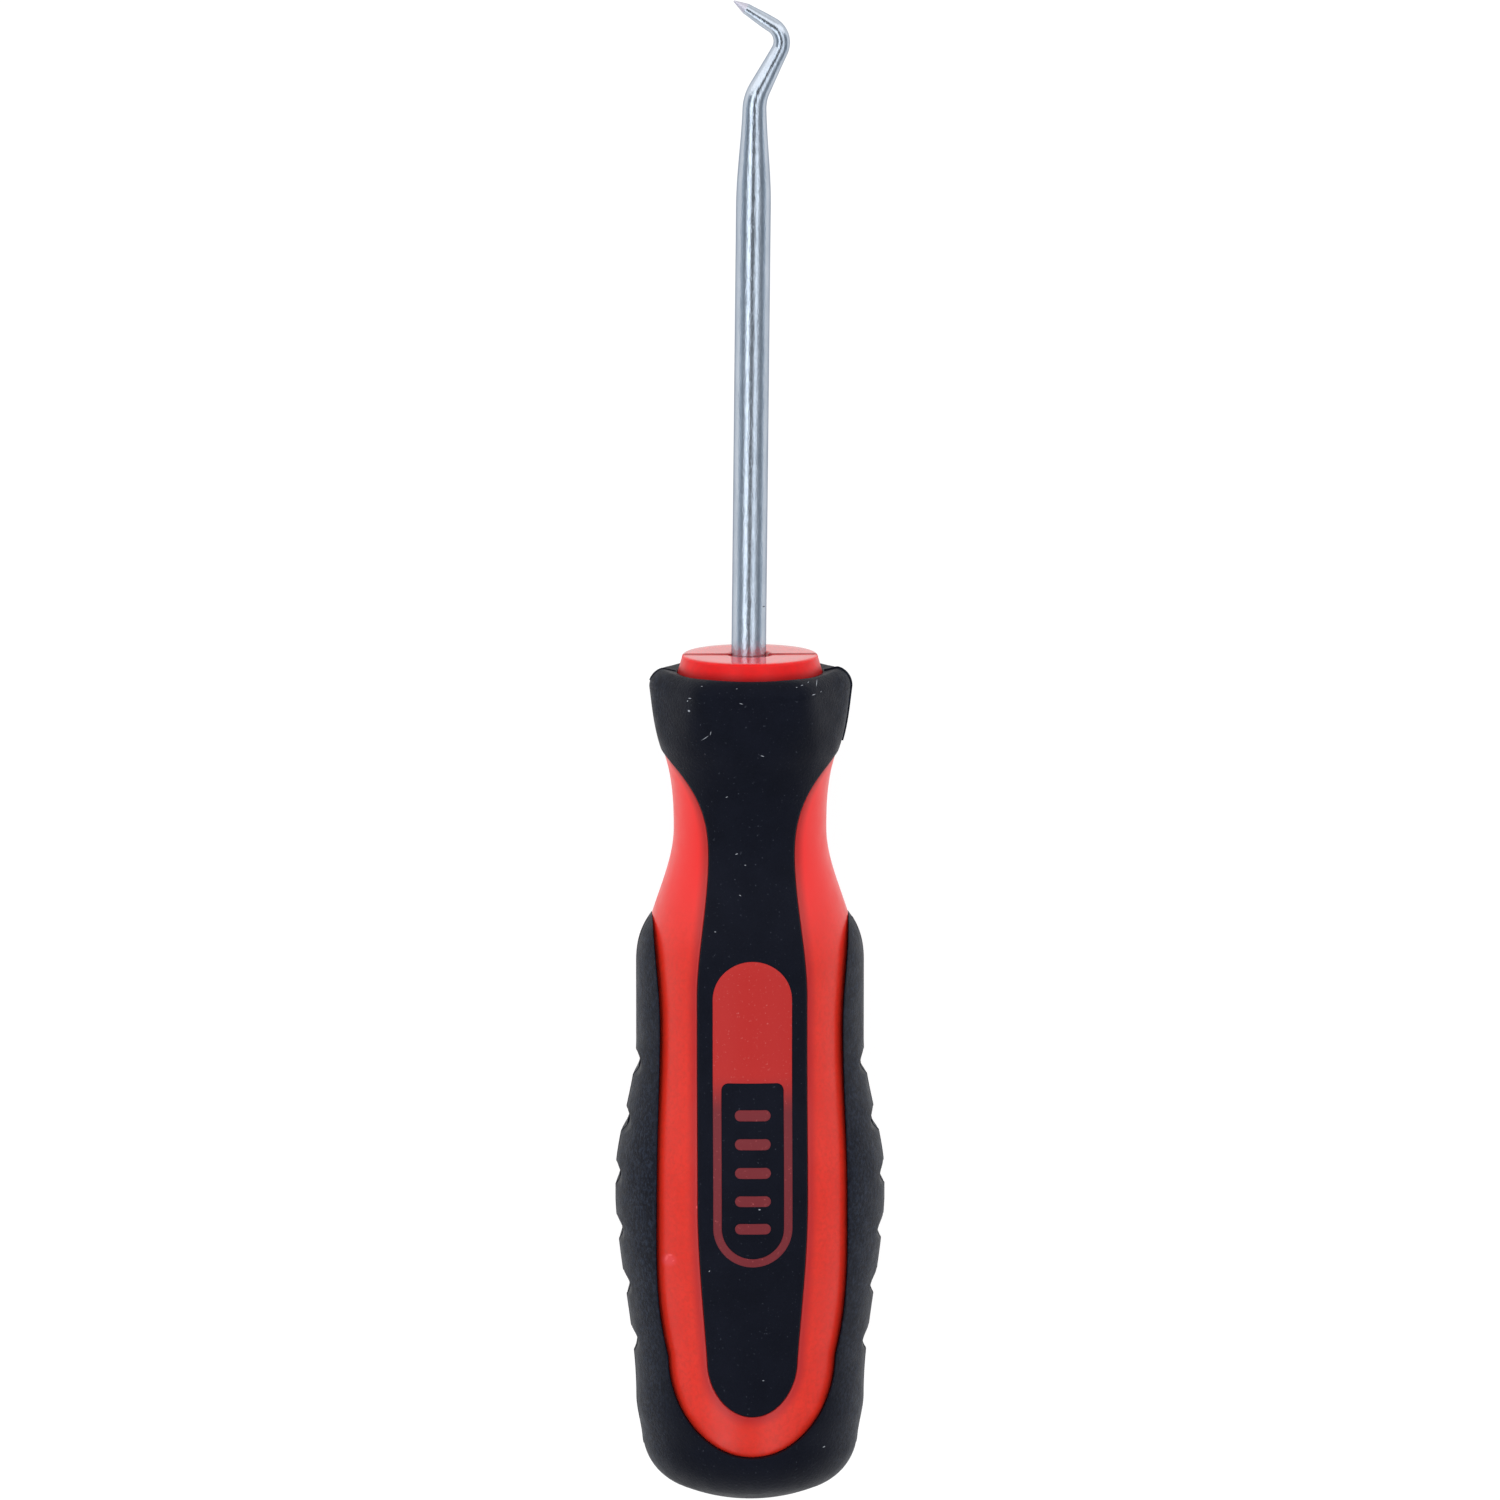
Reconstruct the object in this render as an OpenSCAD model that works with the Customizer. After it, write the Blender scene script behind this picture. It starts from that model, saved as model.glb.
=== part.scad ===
// Angled hook tool: a bent and ground steel hook in a two-colour moulded handle.
// Each piece is drawn upright, with the butt at z = 0, the hook up and the badge side facing -y.
// The whole tool is then laid down on its back, as it comes to rest on a bench.

/* [Overall] */
// Length from the butt to the tip of the hook
tool_len = 140; // [130:1:180]
// Length of the handle from the butt to the face of its collar
handle_len = 79.6; // [78:0.1:86]

/* [Hook shaft] */
// Diameter of the wire
shaft_d = 3.2; // [2.8:0.1:3.6]
// Lean of the wire to one side of the handle's axis, in degrees
shaft_lean = 0.6; // [0:0.1:1.5]
// Length of the drawn taper below the first bend
taper_len = 6.8; // [4:0.1:12]
// Diameter in the first bend
bend_d = 2.2; // [1.8:0.05:2.6]
// Centreline radius of the first bend
bend_r = 4.2; // [3:0.1:6]
// Angle between the wire and the leg of the hook
leg_angle = 27; // [15:1:40]
// Length of the leg, from corner to corner of the centreline
leg_len = 6.6; // [5.5:0.1:9]
// Diameter in the elbow
elbow_d = 1.35; // [1.2:0.05:1.8]
// Centreline radius of the elbow
elbow_r = 1.8; // [1.4:0.1:2.4]
// Angle of the hook's nose above the square position
nose_angle = 31.5; // [10:0.5:45]
// Length of the nose, from the elbow's corner to the tip
nose_len = 5.85; // [5:0.05:9]
// Diameter of the nose where the grinding starts
nose_d = 1.0; // [0.9:0.05:1.4]
// Length of the ground point
point_len = 1.3; // [0.8:0.1:2]
// Diameter of the blunt end of the point
point_d = 0.14; // [0.1:0.02:0.3]
// Depth of the tang inside the handle
tang_len = 52; // [40:1:60]
// Width across the coined ears of the tang
ear_w = 4.6; // [4:0.1:5.4]
// Thickness of the coined ears
ear_t = 2.2; // [1.6:0.1:2.6]
// Length of the coined ears
ear_len = 7; // [4:0.5:10]
// Distance from the end of the tang to the ears
ear_inset = 9; // [5:1:15]

/* [Handle sides] */
// Height of the collar above the guard
collar_h = 1.3; // [0.9:0.1:2]
// Diameter of the collar at its root
collar_d = 13.4; // [12:0.1:14.4]
// Diameter of the collar's face
collar_face_d = 12.6; // [11:0.1:13.4]
// Rounding of the collar's rim
collar_round = 0.35; // [0.1:0.05:0.6]
// Width of the fine groove round the wire in the collar's face
mouth_gap = 0.12; // [0.08:0.02:0.2]
// Depth of that groove
mouth_depth = 0.2; // [0.1:0.05:0.4]
// Distance from the guard's top down to the waist
waist_drop = 15; // [14:0.1:17]
// Diameter of the waist
waist_d = 14.16; // [13.4:0.02:15]
// Upper end of the shank, as a share of the way from the belly up to the waist
shank_top_share = 0.625; // [0.58:0.005:0.68]
// Diameter of the shank, over the side pads
shank_d = 21.1; // [20.5:0.1:22]
// Lower end of the shank, as a share of the way from the belly up to the waist
shank_foot_share = 0.405; // [0.35:0.005:0.44]
// Diameter of the belly, over the side pads
belly_d = 25.1; // [24:0.1:26]
// Height of the belly's widest section above the butt
belly_z = 30; // [28:0.1:31]
// Diameter just above the butt, over the side pads
butt_d = 21.2; // [20.4:0.1:21.6]
// Height at which the butt's rounding ends
butt_h = 9.6; // [9:0.1:11]
// Radius of the domed end
dome_r = 17; // [15:0.5:24]
// Radius of the edge between the dome and the side
butt_round = 5; // [3.5:0.1:6]

/* [Guard] */
// Distance across the corners of the six-sided guard, before rounding
guard_corners = 19.7; // [18.6:0.1:21]
// Diameter of the turned envelope that rounds off the corners
guard_d = 18.7; // [18:0.1:19.4]
// Height of the guard above the throat where it runs out
guard_h = 7.7; // [6.5:0.1:9]
// Diameter of the throat
throat_d = 16.1; // [15.4:0.1:16.8]
// Rounding of the guard's shoulder
guard_round = 1.7; // [1:0.1:2.2]
// Depth of the shallow dish that the collar stands in, below the guard's top
guard_dish = 0.4; // [0.2:0.1:0.8]
// Diameter of the dish where it runs out on the guard's top
dish_d = 16.8; // [15:0.1:17.4]

/* [Mouldings] */
// Step from the red bands up to the side pads
pad_step = 0.6; // [0.3:0.05:0.9]
// Step from the red bands up to the centre strips
strip_step = 0.15; // [0.05:0.05:0.3]
// Thickness of the rubber, below the level of the red bands
rubber_t = 1.5; // [1:0.1:2]
// Diameter of the core's neck inside the guard
neck_d = 10.8; // [9.6:0.1:12]
// Thickness of the rubber under the end of the core
butt_wall = 4; // [3:0.1:5]
// Height of the side pads' points above the shank
pad_tip_rise = 4.5; // [3:0.1:6]

/* [Centre strip outline] */
// Height of the strip's round foot above the butt
strip_foot_z = 9.6; // [9:0.1:12]
// Width of the strip where the foot's rounding ends
strip_foot_w = 8.3; // [7.6:0.1:9]
// Height of the foot's rounding
strip_foot_h = 5.2; // [4:0.1:6]
// Greatest width of the strip
strip_w = 10.1; // [9.2:0.1:10.4]
// Width of the strip at its neck
strip_neck_w = 7.9; // [7.4:0.1:8]
// Distance from the waist down to the strip's neck
strip_neck_drop = 1.7; // [1:0.1:4]
// Width of the strip where its flare becomes a straight diagonal up to the guard
flare_w = 14.2; // [13.8:0.1:14.6]
// Distance from the throat down to the start of that diagonal
flare_drop = 1; // [0.8:0.1:1.2]
// Distance from the shank's upper end down to where the strip starts to narrow
strip_hold = 2; // [0:0.1:4]

/* [Red band outline] */
// Height of the band's round foot above the butt
band_foot_z = 5.6; // [5.4:0.1:8]
// Width over the bands where the foot's rounding ends
band_foot_w = 15.5; // [14.6:0.1:16]
// Height of the foot's rounding
band_foot_h = 9.2; // [8:0.1:10]
// Width over the bands at the belly
band_w = 17.66; // [16.8:0.02:18.2]
// Width over the bands at the shank
band_shank_w = 16.92; // [16.4:0.02:17.4]
// Distance from the belly up to the narrowest place of the bands
band_shank_run = 15.5; // [12:0.1:18]

/* [Finger notches] */
// Number of notches in each side pad
notch_count = 6; // [4:1:6]
// Distance from one notch to the next
notch_pitch = 5.28; // [4.8:0.02:5.6]
// Height of the lowest notch above the butt
notch_z = 15; // [13:0.1:17]
// Depth of a notch at the side
notch_depth = 0.5; // [0.3:0.05:0.8]
// Radius of the tool that forms a notch
notch_r = 1.5; // [1:0.1:2.5]

/* [Badge] */
// Width of the raised capsule on the front
badge_w = 7.3; // [6.6:0.1:7.6]
// Height of the capsule's lower end above the butt
badge_z = 24.1; // [22:0.1:26]
// Length of the capsule
badge_len = 28.3; // [26:0.1:29]
// Width of the capsule's rim
badge_rim = 0.78; // [0.5:0.02:1]
// Length of the rubber window in the capsule
window_len = 16.2; // [12:0.1:18]
// Radius of the window's upper corners
window_corner = 0.7; // [0.3:0.1:1]
// Step from the centre strip up to the capsule
badge_step = 0.08; // [0.04:0.02:0.2]
// Number of plain bars in the window
bar_count = 5; // [3:1:6]
// Length of a bar
bar_w = 3.3; // [2.4:0.1:3.8]
// Height of a bar
bar_h = 1; // [0.6:0.1:1.4]
// Distance from one bar to the next
bar_pitch = 2.6; // [2:0.1:2.7]
// Width of the runner that fills the window with rubber
runner_w = 1.6; // [1:0.1:2.4]
// Depth of the rubber runner under the rim
runner_t = 0.7; // [0.5:0.1:0.9]

/* [Hidden] */
$fn = 96;

steel = "silver";
red = "crimson";
black = "#1d1e22";

// Heights of the handle's sections above the butt
guard_z = handle_len - collar_h;
throat_z = guard_z - guard_h;
waist_z = guard_z - waist_drop;
shank_top = belly_z + (waist_z - belly_z) * shank_top_share;
shank_foot = belly_z + (waist_z - belly_z) * shank_foot_share;
strip_neck_z = waist_z - strip_neck_drop;
band_shank_z = belly_z + band_shank_run;
pad_tip_z = shank_top + pad_tip_rise;
flare_z = throat_z - flare_drop;

// Slopes of the sides, as radius gained for each millimetre of height
throat_slope = 0.36;
guard_slope = 0.14;
pad_tip_slope = -0.75;
flare_slope = 1;
foot_slope = 0.07;
band_slope = 0.26;
band_tip_slope = 0.05;

// The hook's chain of straights and bends
elbow_turn = leg_angle + 90 - nose_angle;
bend_tangent = bend_r * tan(leg_angle / 2);
elbow_tangent = elbow_r * tan(elbow_turn / 2);
hook_h = leg_len * cos(leg_angle) + nose_len * sin(nose_angle);
wire_len = tool_len - handle_len - hook_h - bend_tangent - taper_len;

// How far a straight reaches into a bend, and how much thinner it is there
joint_len = 0.1;
joint_ledge = 0.08;
// Radius that the red surface loses on its way down from the pads into the butt
foot_draft = 0.9;
// Thickness of a side pad's point, above the red surface
pad_tip_t = 0.05;
// Draft of the butt's side between its rounding and the pads
butt_draft = 0.55;
// Angle on the butt's rounding where the side takes over, in degrees
butt_side_angle = -5;
// Angle on the guard's shoulder where the turned side takes over, in degrees
shoulder_angle = 10;
// How far a cutting outline runs past the surface that it cuts
margin = 1;
// Where the flare's diagonal ends, outside the guard
skirt_r = guard_d / 2 + margin;
skirt_z = flare_z + (skirt_r - flare_w / 2) / flare_slope;
// Half the size of a block that is larger than the handle every way
reach = belly_d;
cone_step = 1.7;
outline_step = 1.5;

function hermite(a, b, va, vb, ma, mb, t) =
    va * (2 * t ^ 3 - 3 * t ^ 2 + 1) + vb * (3 * t ^ 2 - 2 * t ^ 3)
    + (b - a) * (ma * (t ^ 3 - 2 * t ^ 2 + t) + mb * (t ^ 3 - t ^ 2));

// A smooth side through sections of [height, half width, slope], as [half width, height] points
function side(sections, step) = [
    for (i = [0 : len(sections) - 2])
        let (p = sections[i], q = sections[i + 1], n = max(1, ceil((q[0] - p[0]) / step)))
        for (k = [0 : n - 1])
            let (t = k / n)
            [hermite(p[0], q[0], p[1], q[1], p[2], q[2], t), p[0] + (q[0] - p[0]) * t],
    [sections[len(sections) - 1][1], sections[len(sections) - 1][0]]
];

// The round foot of an outline, from its middle to its full half width
function foot(half_w, z, h, n = 8) =
    [for (k = [0 : n - 1]) [half_w * sin(90 * k / n), z + h * (1 - cos(90 * k / n))]];

function arc(cx, cy, r, from, to, n) =
    [for (k = [0 : n]) let (a = from + (to - from) * k / n) [cx + r * cos(a), cy + r * sin(a)]];

function mirrored(points) =
    [for (i = [len(points) - 1 : -1 : 0]) if (points[i].x > 0) [-points[i].x, points[i].y]];

// Sections of the red surface, lowered or raised by a step
function red_sections(step) = [
    [butt_h, butt_d / 2 - pad_step + step, 0],
    [belly_z, belly_d / 2 - pad_step + step, 0],
    [shank_foot, shank_d / 2 - pad_step + step, 0],
    [shank_top, shank_d / 2 - pad_step + step, 0],
    [waist_z, waist_d / 2 + step, 0]
];

// The red surface from under the butt to the throat
red_side = concat(
    [[butt_d / 2 - pad_step - foot_draft, butt_wall]],
    side(concat(red_sections(0), [[throat_z, throat_d / 2, throat_slope]]), cone_step)
);

function red_r(z) = lookup(z, [for (p = red_side) [p.y, p.x]]);
pad_tip_r = red_r(pad_tip_z);

// The core under the rubber, from its end in the butt to the neck in the guard
core_side = concat(
    [[butt_d / 2 - pad_step - rubber_t - foot_draft, butt_wall]],
    side(concat(red_sections(-rubber_t), [[throat_z, neck_d / 2, 0]]), cone_step)
);

// The centre strips' surface, which runs on up into the guard
strip_side = side(concat(red_sections(strip_step), [
    [throat_z, throat_d / 2 + strip_step, throat_slope],
    [guard_z - guard_round, guard_d / 2, guard_slope]
]), cone_step);

// The side pads' surface, from the butt's edge to the points of the pads
pad_side = side([
    [butt_h, butt_d / 2, 0],
    [belly_z, belly_d / 2, 0],
    [shank_foot, shank_d / 2, 0],
    [shank_top, shank_d / 2, 0],
    [pad_tip_z, pad_tip_r + pad_tip_t, pad_tip_slope]
], cone_step);

// Half width over the pads at a height
function pad_half_w(z) = lookup(z, [for (p = pad_side) [p.y, p.x]]);

// The butt: a dome that meets the side in a round edge
round_x = butt_d / 2 - butt_draft - butt_round;
dome_turn = asin(round_x / (dome_r - butt_round));
round_z = dome_r - (dome_r - butt_round) * cos(dome_turn);
dome_side = concat(
    arc(0, dome_r, dome_r, -90, -90 + dome_turn, 4),
    arc(round_x, round_z, butt_round, -90 + dome_turn, butt_side_angle, 7)
);

// Outline of the centre strip, seen from the front
strip_edge = concat(
    foot(strip_foot_w / 2, strip_foot_z, strip_foot_h),
    side([
        [strip_foot_z + strip_foot_h, strip_foot_w / 2, foot_slope],
        [belly_z, strip_w / 2, 0],
        [shank_top - strip_hold, strip_w / 2, 0],
        [strip_neck_z, strip_neck_w / 2, 0],
        [flare_z, flare_w / 2, flare_slope]
    ], outline_step),
    [[skirt_r, skirt_z]]
);

// Outline of the bands' outer edge, up to the points of the side pads
band_edge = concat(
    foot(band_foot_w / 2, band_foot_z, band_foot_h),
    side([
        [band_foot_z + band_foot_h, band_foot_w / 2, band_slope],
        [belly_z, band_w / 2, 0],
        [band_shank_z, band_shank_w / 2, 0],
        [pad_tip_z, pad_tip_r, band_tip_slope]
    ], outline_step)
);

// Seat of the guard's rear flat, and the angle at which the tool lies on it and on the belly
guard_flat = guard_corners / 2 * cos(30);
guard_seat_z = guard_z - guard_round;
rest_tilt = max([for (p = strip_side) if (p.y < shank_foot) atan((p.x - guard_flat) / (guard_seat_z - p.y))]);
rest_h = guard_flat * cos(rest_tilt) + guard_seat_z * sin(rest_tilt);

// Lays an upright piece on its back, with the middle of the tool over the origin
module lying() {
    translate([0, -tool_len / 2 * cos(rest_tilt), rest_h])
        rotate([-90 - rest_tilt, 0, 0])
            children();
}

// Cuts an outline through the handle from front to back
module through() {
    translate([0, reach, 0])
        rotate([90, 0, 0])
            linear_extrude(2 * reach)
                children();
}

// Cuts an outline through the front of the handle only
module front_only() {
    rotate([90, 0, 0])
        linear_extrude(reach)
            children();
}

module turned(points) {
    rotate_extrude()
        polygon(concat([[0, points[0].y]], points, [[0, points[len(points) - 1].y]]));
}

module strip_outline() {
    half = concat(strip_edge, [[skirt_r, guard_z + margin]]);
    polygon(concat(half, mirrored(half)));
}

module band_outline() {
    half = concat(band_edge, [[reach, pad_tip_z], [reach, skirt_z]]);
    difference() {
        polygon(concat(half, mirrored(half)));
        polygon(concat(strip_edge, mirrored(strip_edge)));
    }
}

module pad_outline() {
    half = concat(band_edge, [[pad_tip_r, pad_tip_z + 2 * margin]]);
    difference() {
        translate([-reach, -margin])
            square([2 * reach, pad_tip_z + 2 * margin]);
        polygon(concat(half, mirrored(half)));
    }
}

// A bend that starts at the origin along +z and turns towards +x
module bend(d, r, angle) {
    translate([r, 0, 0])
        rotate([90, 0, 0])
            rotate([0, 0, 180 - angle])
                rotate_extrude(angle = angle)
                    translate([r, 0])
                        circle(d = d);
}

// Carries what follows to the far end of such a bend
module after_bend(r, angle) {
    translate([r * (1 - cos(angle)), 0, r * sin(angle)])
        rotate([0, angle, 0])
            children();
}

// A tapered straight whose ends reach a little way into the bends that it joins
module straight(d1, d2, h, into_start, into_end) {
    translate([0, 0, -into_start])
        cylinder(d1 = d1 - joint_ledge, d2 = d2 - joint_ledge, h = h + into_start + into_end);
}

module nose() {
    h = nose_len - elbow_tangent - point_len;
    straight(elbow_d, nose_d, h, joint_len, 0);
    translate([0, 0, h])
        cylinder(d1 = nose_d - joint_ledge, d2 = point_d, h = point_len);
}

module leg() {
    h = leg_len - bend_tangent - elbow_tangent;
    straight(bend_d, elbow_d, h, joint_len, joint_len);
    translate([0, 0, h])
        rotate([0, 0, 180]) {
            bend(elbow_d, elbow_r, elbow_turn);
            after_bend(elbow_r, elbow_turn)
                nose();
        }
}

// The wire above the collar's face, which is at z = 0 here
module hook() {
    cylinder(d = shaft_d, h = wire_len);
    translate([0, 0, wire_len])
        cylinder(d1 = shaft_d, d2 = bend_d - joint_ledge, h = taper_len + joint_len);
    translate([0, 0, wire_len + taper_len]) {
        bend(bend_d, bend_r, leg_angle);
        after_bend(bend_r, leg_angle)
            leg();
    }
}

// The wire below the collar's face
module tang() {
    translate([0, 0, -tang_len])
        cylinder(d = shaft_d, h = tang_len);
    translate([-ear_w / 2, -ear_t / 2, -tang_len + ear_inset])
        cube([ear_w, ear_t, ear_len]);
}

// What the wire and the fine groove round its mouth take out of the core
module wire_seat() {
    tang();
    translate([0, 0, -mouth_depth])
        cylinder(d = shaft_d + 2 * mouth_gap, h = mouth_depth + joint_len);
}

// The place of the wire in the handle, shared by the wire and its seat
module at_wire() {
    translate([0, 0, handle_len])
        rotate([0, shaft_lean, 0])
            children();
}

module badge_outline() {
    r = badge_w / 2;
    low = badge_z + badge_w / 2;
    high = badge_z + badge_len - badge_w / 2;
    polygon(concat(arc(0, low, r, -180, 0, 12), arc(0, high, r, 0, 180, 12)));
}

module window_outline() {
    r = badge_w / 2 - badge_rim;
    low = badge_z + badge_w / 2;
    top = badge_z + badge_rim + window_len;
    c = window_corner;
    polygon(concat(
        arc(0, low, r, -180, 0, 12),
        arc(r - c, top - c, c, 0, 90, 4),
        arc(c - r, top - c, c, 90, 180, 4)
    ));
}

// Plain round-ended bars, one above the other
module bar_outlines() {
    first = badge_z + badge_w / 2;
    for (i = [0 : bar_count - 1])
        translate([0, first + i * bar_pitch])
            polygon(concat(
                arc((bar_w - bar_h) / 2, 0, bar_h / 2, -90, 90, 6),
                arc((bar_h - bar_w) / 2, 0, bar_h / 2, 90, 270, 6)
            ));
}

// The way under the capsule's rim by which the rubber fills its window
module runner() {
    intersection() {
        turned(side(red_sections(runner_t - rubber_t), cone_step));
        front_only()
            translate([-runner_w / 2, badge_z - margin])
                square([runner_w, badge_rim + 2 * margin]);
    }
}

// The capsule and its bars, as the red core holds them up through the rubber
module badge() {
    difference() {
        intersection() {
            turned(side(red_sections(strip_step + badge_step), cone_step));
            front_only() {
                difference() {
                    badge_outline();
                    window_outline();
                }
                bar_outlines();
            }
        }
        runner();
    }
}

module hook_shaft() {
    color(steel)
        lying()
            at_wire() {
                hook();
                tang();
            }
}

module handle_core() {
    color(red)
        lying()
            difference() {
                union() {
                    turned(core_side);
                    translate([0, 0, throat_z])
                        cylinder(d = neck_d, h = guard_z - guard_dish - throat_z);
                    turned([
                        [collar_d / 2, guard_z - guard_dish],
                        each arc(collar_face_d / 2 - collar_round, handle_len - collar_round,
                            collar_round, 0, 90, 4)
                    ]);
                    intersection() {
                        turned(red_side);
                        through()
                            band_outline();
                    }
                    badge();
                }
                at_wire()
                    wire_seat();
            }
}

// One pair of the guard's flats, with rounded top edges
module guard_slab() {
    low = waist_z - margin;
    rotate([90, 0, 90])
        translate([0, 0, -reach])
            linear_extrude(2 * reach)
                polygon(concat(
                    [[guard_flat, low]],
                    arc(guard_flat - guard_round, guard_z - guard_round, guard_round, 0, 90, 6),
                    arc(guard_round - guard_flat, guard_z - guard_round, guard_round, 90, 180, 6),
                    [[-guard_flat, low]]
                ));
}

module upper_grip() {
    color(black)
        lying()
            difference() {
                intersection() {
                    turned(concat(strip_side, arc(guard_d / 2 - guard_round, guard_z - guard_round,
                        guard_round, shoulder_angle, 90, 6)));
                    through()
                        strip_outline();
                    union() {
                        translate([0, 0, -margin])
                            cylinder(r = reach, h = waist_z + margin);
                        intersection_for (turn = [0, 60, 120])
                            rotate([0, 0, turn])
                                guard_slab();
                    }
                }
                turned(core_side);
                translate([0, 0, throat_z])
                    cylinder(d = neck_d, h = guard_z);
                dish();
                badge();
            }
}

// What the shallow dish round the collar takes off the guard's top
module dish() {
    turned([
        [collar_d / 2, guard_z - guard_dish],
        [dish_d / 2, guard_z],
        [dish_d / 2, guard_z + margin]
    ]);
}

module lower_grip() {
    color(black)
        lying()
            difference() {
                intersection() {
                    turned(concat(dome_side, pad_side));
                    through()
                        pad_outline();
                }
                turned(core_side);
                notches();
            }
}

// Shallow notches across the pads, formed by straight tools along the mould's draw
module notches() {
    for (i = [0 : notch_count - 1], s = [-1, 1]) {
        z = notch_z + i * notch_pitch;
        translate([s * (pad_half_w(z) - notch_depth + notch_r), 0, z])
            rotate([90, 0, 0])
                cylinder(r = notch_r, h = 2 * reach, center = true);
    }
}

hook_shaft();
handle_core();
upper_grip();
lower_grip();
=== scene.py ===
# Looks of the angled hook tool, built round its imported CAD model.
# Shapes are worked out upright in millimetres: the butt at z = 0, the hook up, the badge side facing -y.
import math

import bmesh
import bpy
import numpy as np
from mathutils import Matrix, Vector


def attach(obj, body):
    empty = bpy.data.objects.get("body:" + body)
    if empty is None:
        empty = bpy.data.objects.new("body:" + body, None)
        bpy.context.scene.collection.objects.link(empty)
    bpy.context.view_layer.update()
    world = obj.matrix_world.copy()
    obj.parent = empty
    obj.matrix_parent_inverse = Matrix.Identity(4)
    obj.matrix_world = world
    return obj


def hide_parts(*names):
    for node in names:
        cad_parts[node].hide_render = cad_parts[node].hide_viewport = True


MM = 0.001

# Overall sizes of the tool
TOOL_LEN = 140.0
HANDLE_LEN = 79.6
COLLAR_H = 1.3
GUARD_Z = HANDLE_LEN - COLLAR_H
THROAT_Z = GUARD_Z - 7.7
WAIST_Z = GUARD_Z - 15.0
BELLY_Z = 30.0
SHANK_TOP = BELLY_Z + (WAIST_Z - BELLY_Z) * 0.625
SHANK_FOOT = BELLY_Z + (WAIST_Z - BELLY_Z) * 0.405
PAD_TIP_Z = SHANK_TOP + 4.5
BUTT_H = 9.6
# How far the visible surfaces stay inside the solids, whose sides are short straight stretches
SKIN = 0.02

# Radii of the red surface, and the steps up from it to the rubber
BUTT_R = 10.0
BELLY_R = 11.95
SHANK_R = 9.95
WAIST_R = 7.08
THROAT_R = 8.05
PAD_STEP = 0.6
STRIP_STEP = 0.15
FOOT_DRAFT = 0.9
CORE_FOOT_Z = 4.0

# The butt
DOME_R = 17.0
BUTT_ROUND = 5.0
BUTT_DRAFT = 0.55
BUTT_TURN = math.radians(85)
BUTT_SLOPE = 0.0875

# The guard
GUARD_R = 9.35
GUARD_CORNER_D = 19.7
GUARD_FLAT = GUARD_CORNER_D / 2 * math.cos(math.radians(30))
GUARD_ROUND = 1.7
GUARD_SEAT_Z = GUARD_Z - GUARD_ROUND
GUARD_DISH = 0.4
DISH_R = 8.4
DISH_SOFTNESS = 0.03
CORNER_SOFTNESS = 0.22
# Rings of points in the dish, as (share of the way in to the collar, drop)
DISH_RINGS = [(0.3, 0), (0.6, 0), (0.85, 0), (0.95, 0.02), (1.0, 0.1), (1.03, 0.5)]

# The collar, with the small step across its face where the mould parts
COLLAR_R = 6.7
COLLAR_FACE_R = 6.3
COLLAR_ROUND = 0.35
COLLAR_SUNK = 0.6
COLLAR_GAP = 0.03
PARTING_STEP = 0.09
PARTING_REACH = 0.18
# Radii of the rings on its face, and its mouth as (past the shaft's radius, above the face)
COLLAR_RINGS = [5, 4, 3, 2.2]
COLLAR_MOUTH = [(0.12, 0), (0.1, -0.2), (-0.2, -0.3)]
# How many of the rounded rim's steps belong to the side, the others being the face's
RIM_SIDE_STEPS = 4

# Fillets and hidden walls along the edges of the mouldings
EDGE_ROUND = 0.16
FILLET_SHARE = 0.3
WALL = 0.9
PAD_WALL = 1.4
BADGE_WALL = 0.3
# Lengths over which the rounded edges run out at their upper ends
BAND_EDGE_END = 1.5
GUARD_EDGE_END = 0.5
PAD_EDGE_END = 2.0

# Points across the mouldings, and steps between the rows of points along them
BAND_COLUMNS = 16
STRIP_COLUMNS = 20
PAD_COLUMNS = 24
GUARD_COLUMNS = 32
BADGE_COLUMNS = 8
BAR_COLUMNS = 3
ROW = 0.35
FINE_ROW = 0.15
STRIP_FINE_Z = 60.0
NOTCH_ROW = 0.12
NOTCH_END_Z = 46.5
PAD_ROW = 0.3
GUARD_ROW = 0.25
GUARD_ROW_GAP = 0.2

# Numbers of points or rows along the curves, round the turned pieces and in searches
DOME_POINTS = 30
BUTT_POINTS = 40
BUTT_FOOT_POINTS = 20
PAD_SIDE_POINTS = 400
PAD_FOOT_ROWS = 48
FOOT_ROWS = 40
BAND_LOWER_ROWS = 50
FLARE_ROWS = 12
SHOULDER_ROWS = 16
FLASH_POINTS = 700
RIM_POINTS = 8
COLLAR_POINTS = 192
WIRE_POINTS = 64
BADGE_END_ROWS = 24
FIELD_ROWS = 16
WINDOW_TOP_ROWS = 12
WINDOW_CORNER_ROWS = 8
WINDOW_SIDE_ROWS = 24
BAR_END_ROWS = 17
RUN_OUT_SEARCH = 2000
REST_SEARCH = 4000

# The least length of a row, and in metres, how near points merge and how short edges vanish
SHORTEST = 1e-6
MERGED = 2e-6
VANISHED = 1e-7
# A margin for telling which side of an edge a place is on
HAIR = 0.01

# Finger notches
NOTCH_COUNT = 6
NOTCH_PITCH = 5.28
NOTCH_Z = 15.0
NOTCH_DEPTH = 0.5
NOTCH_R = 1.5
NOTCH_SOFTNESS = 0.05

# The flash on the rubber where the mould parts
FLASH_ROOT = 0.3
FLASH_HALF = 0.05
GUARD_FLASH = 0.16
GUARD_FLASH_Z = 71.3
PAD_FLASH = 0.05
NOTCH_FLASH = 0.38
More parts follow.
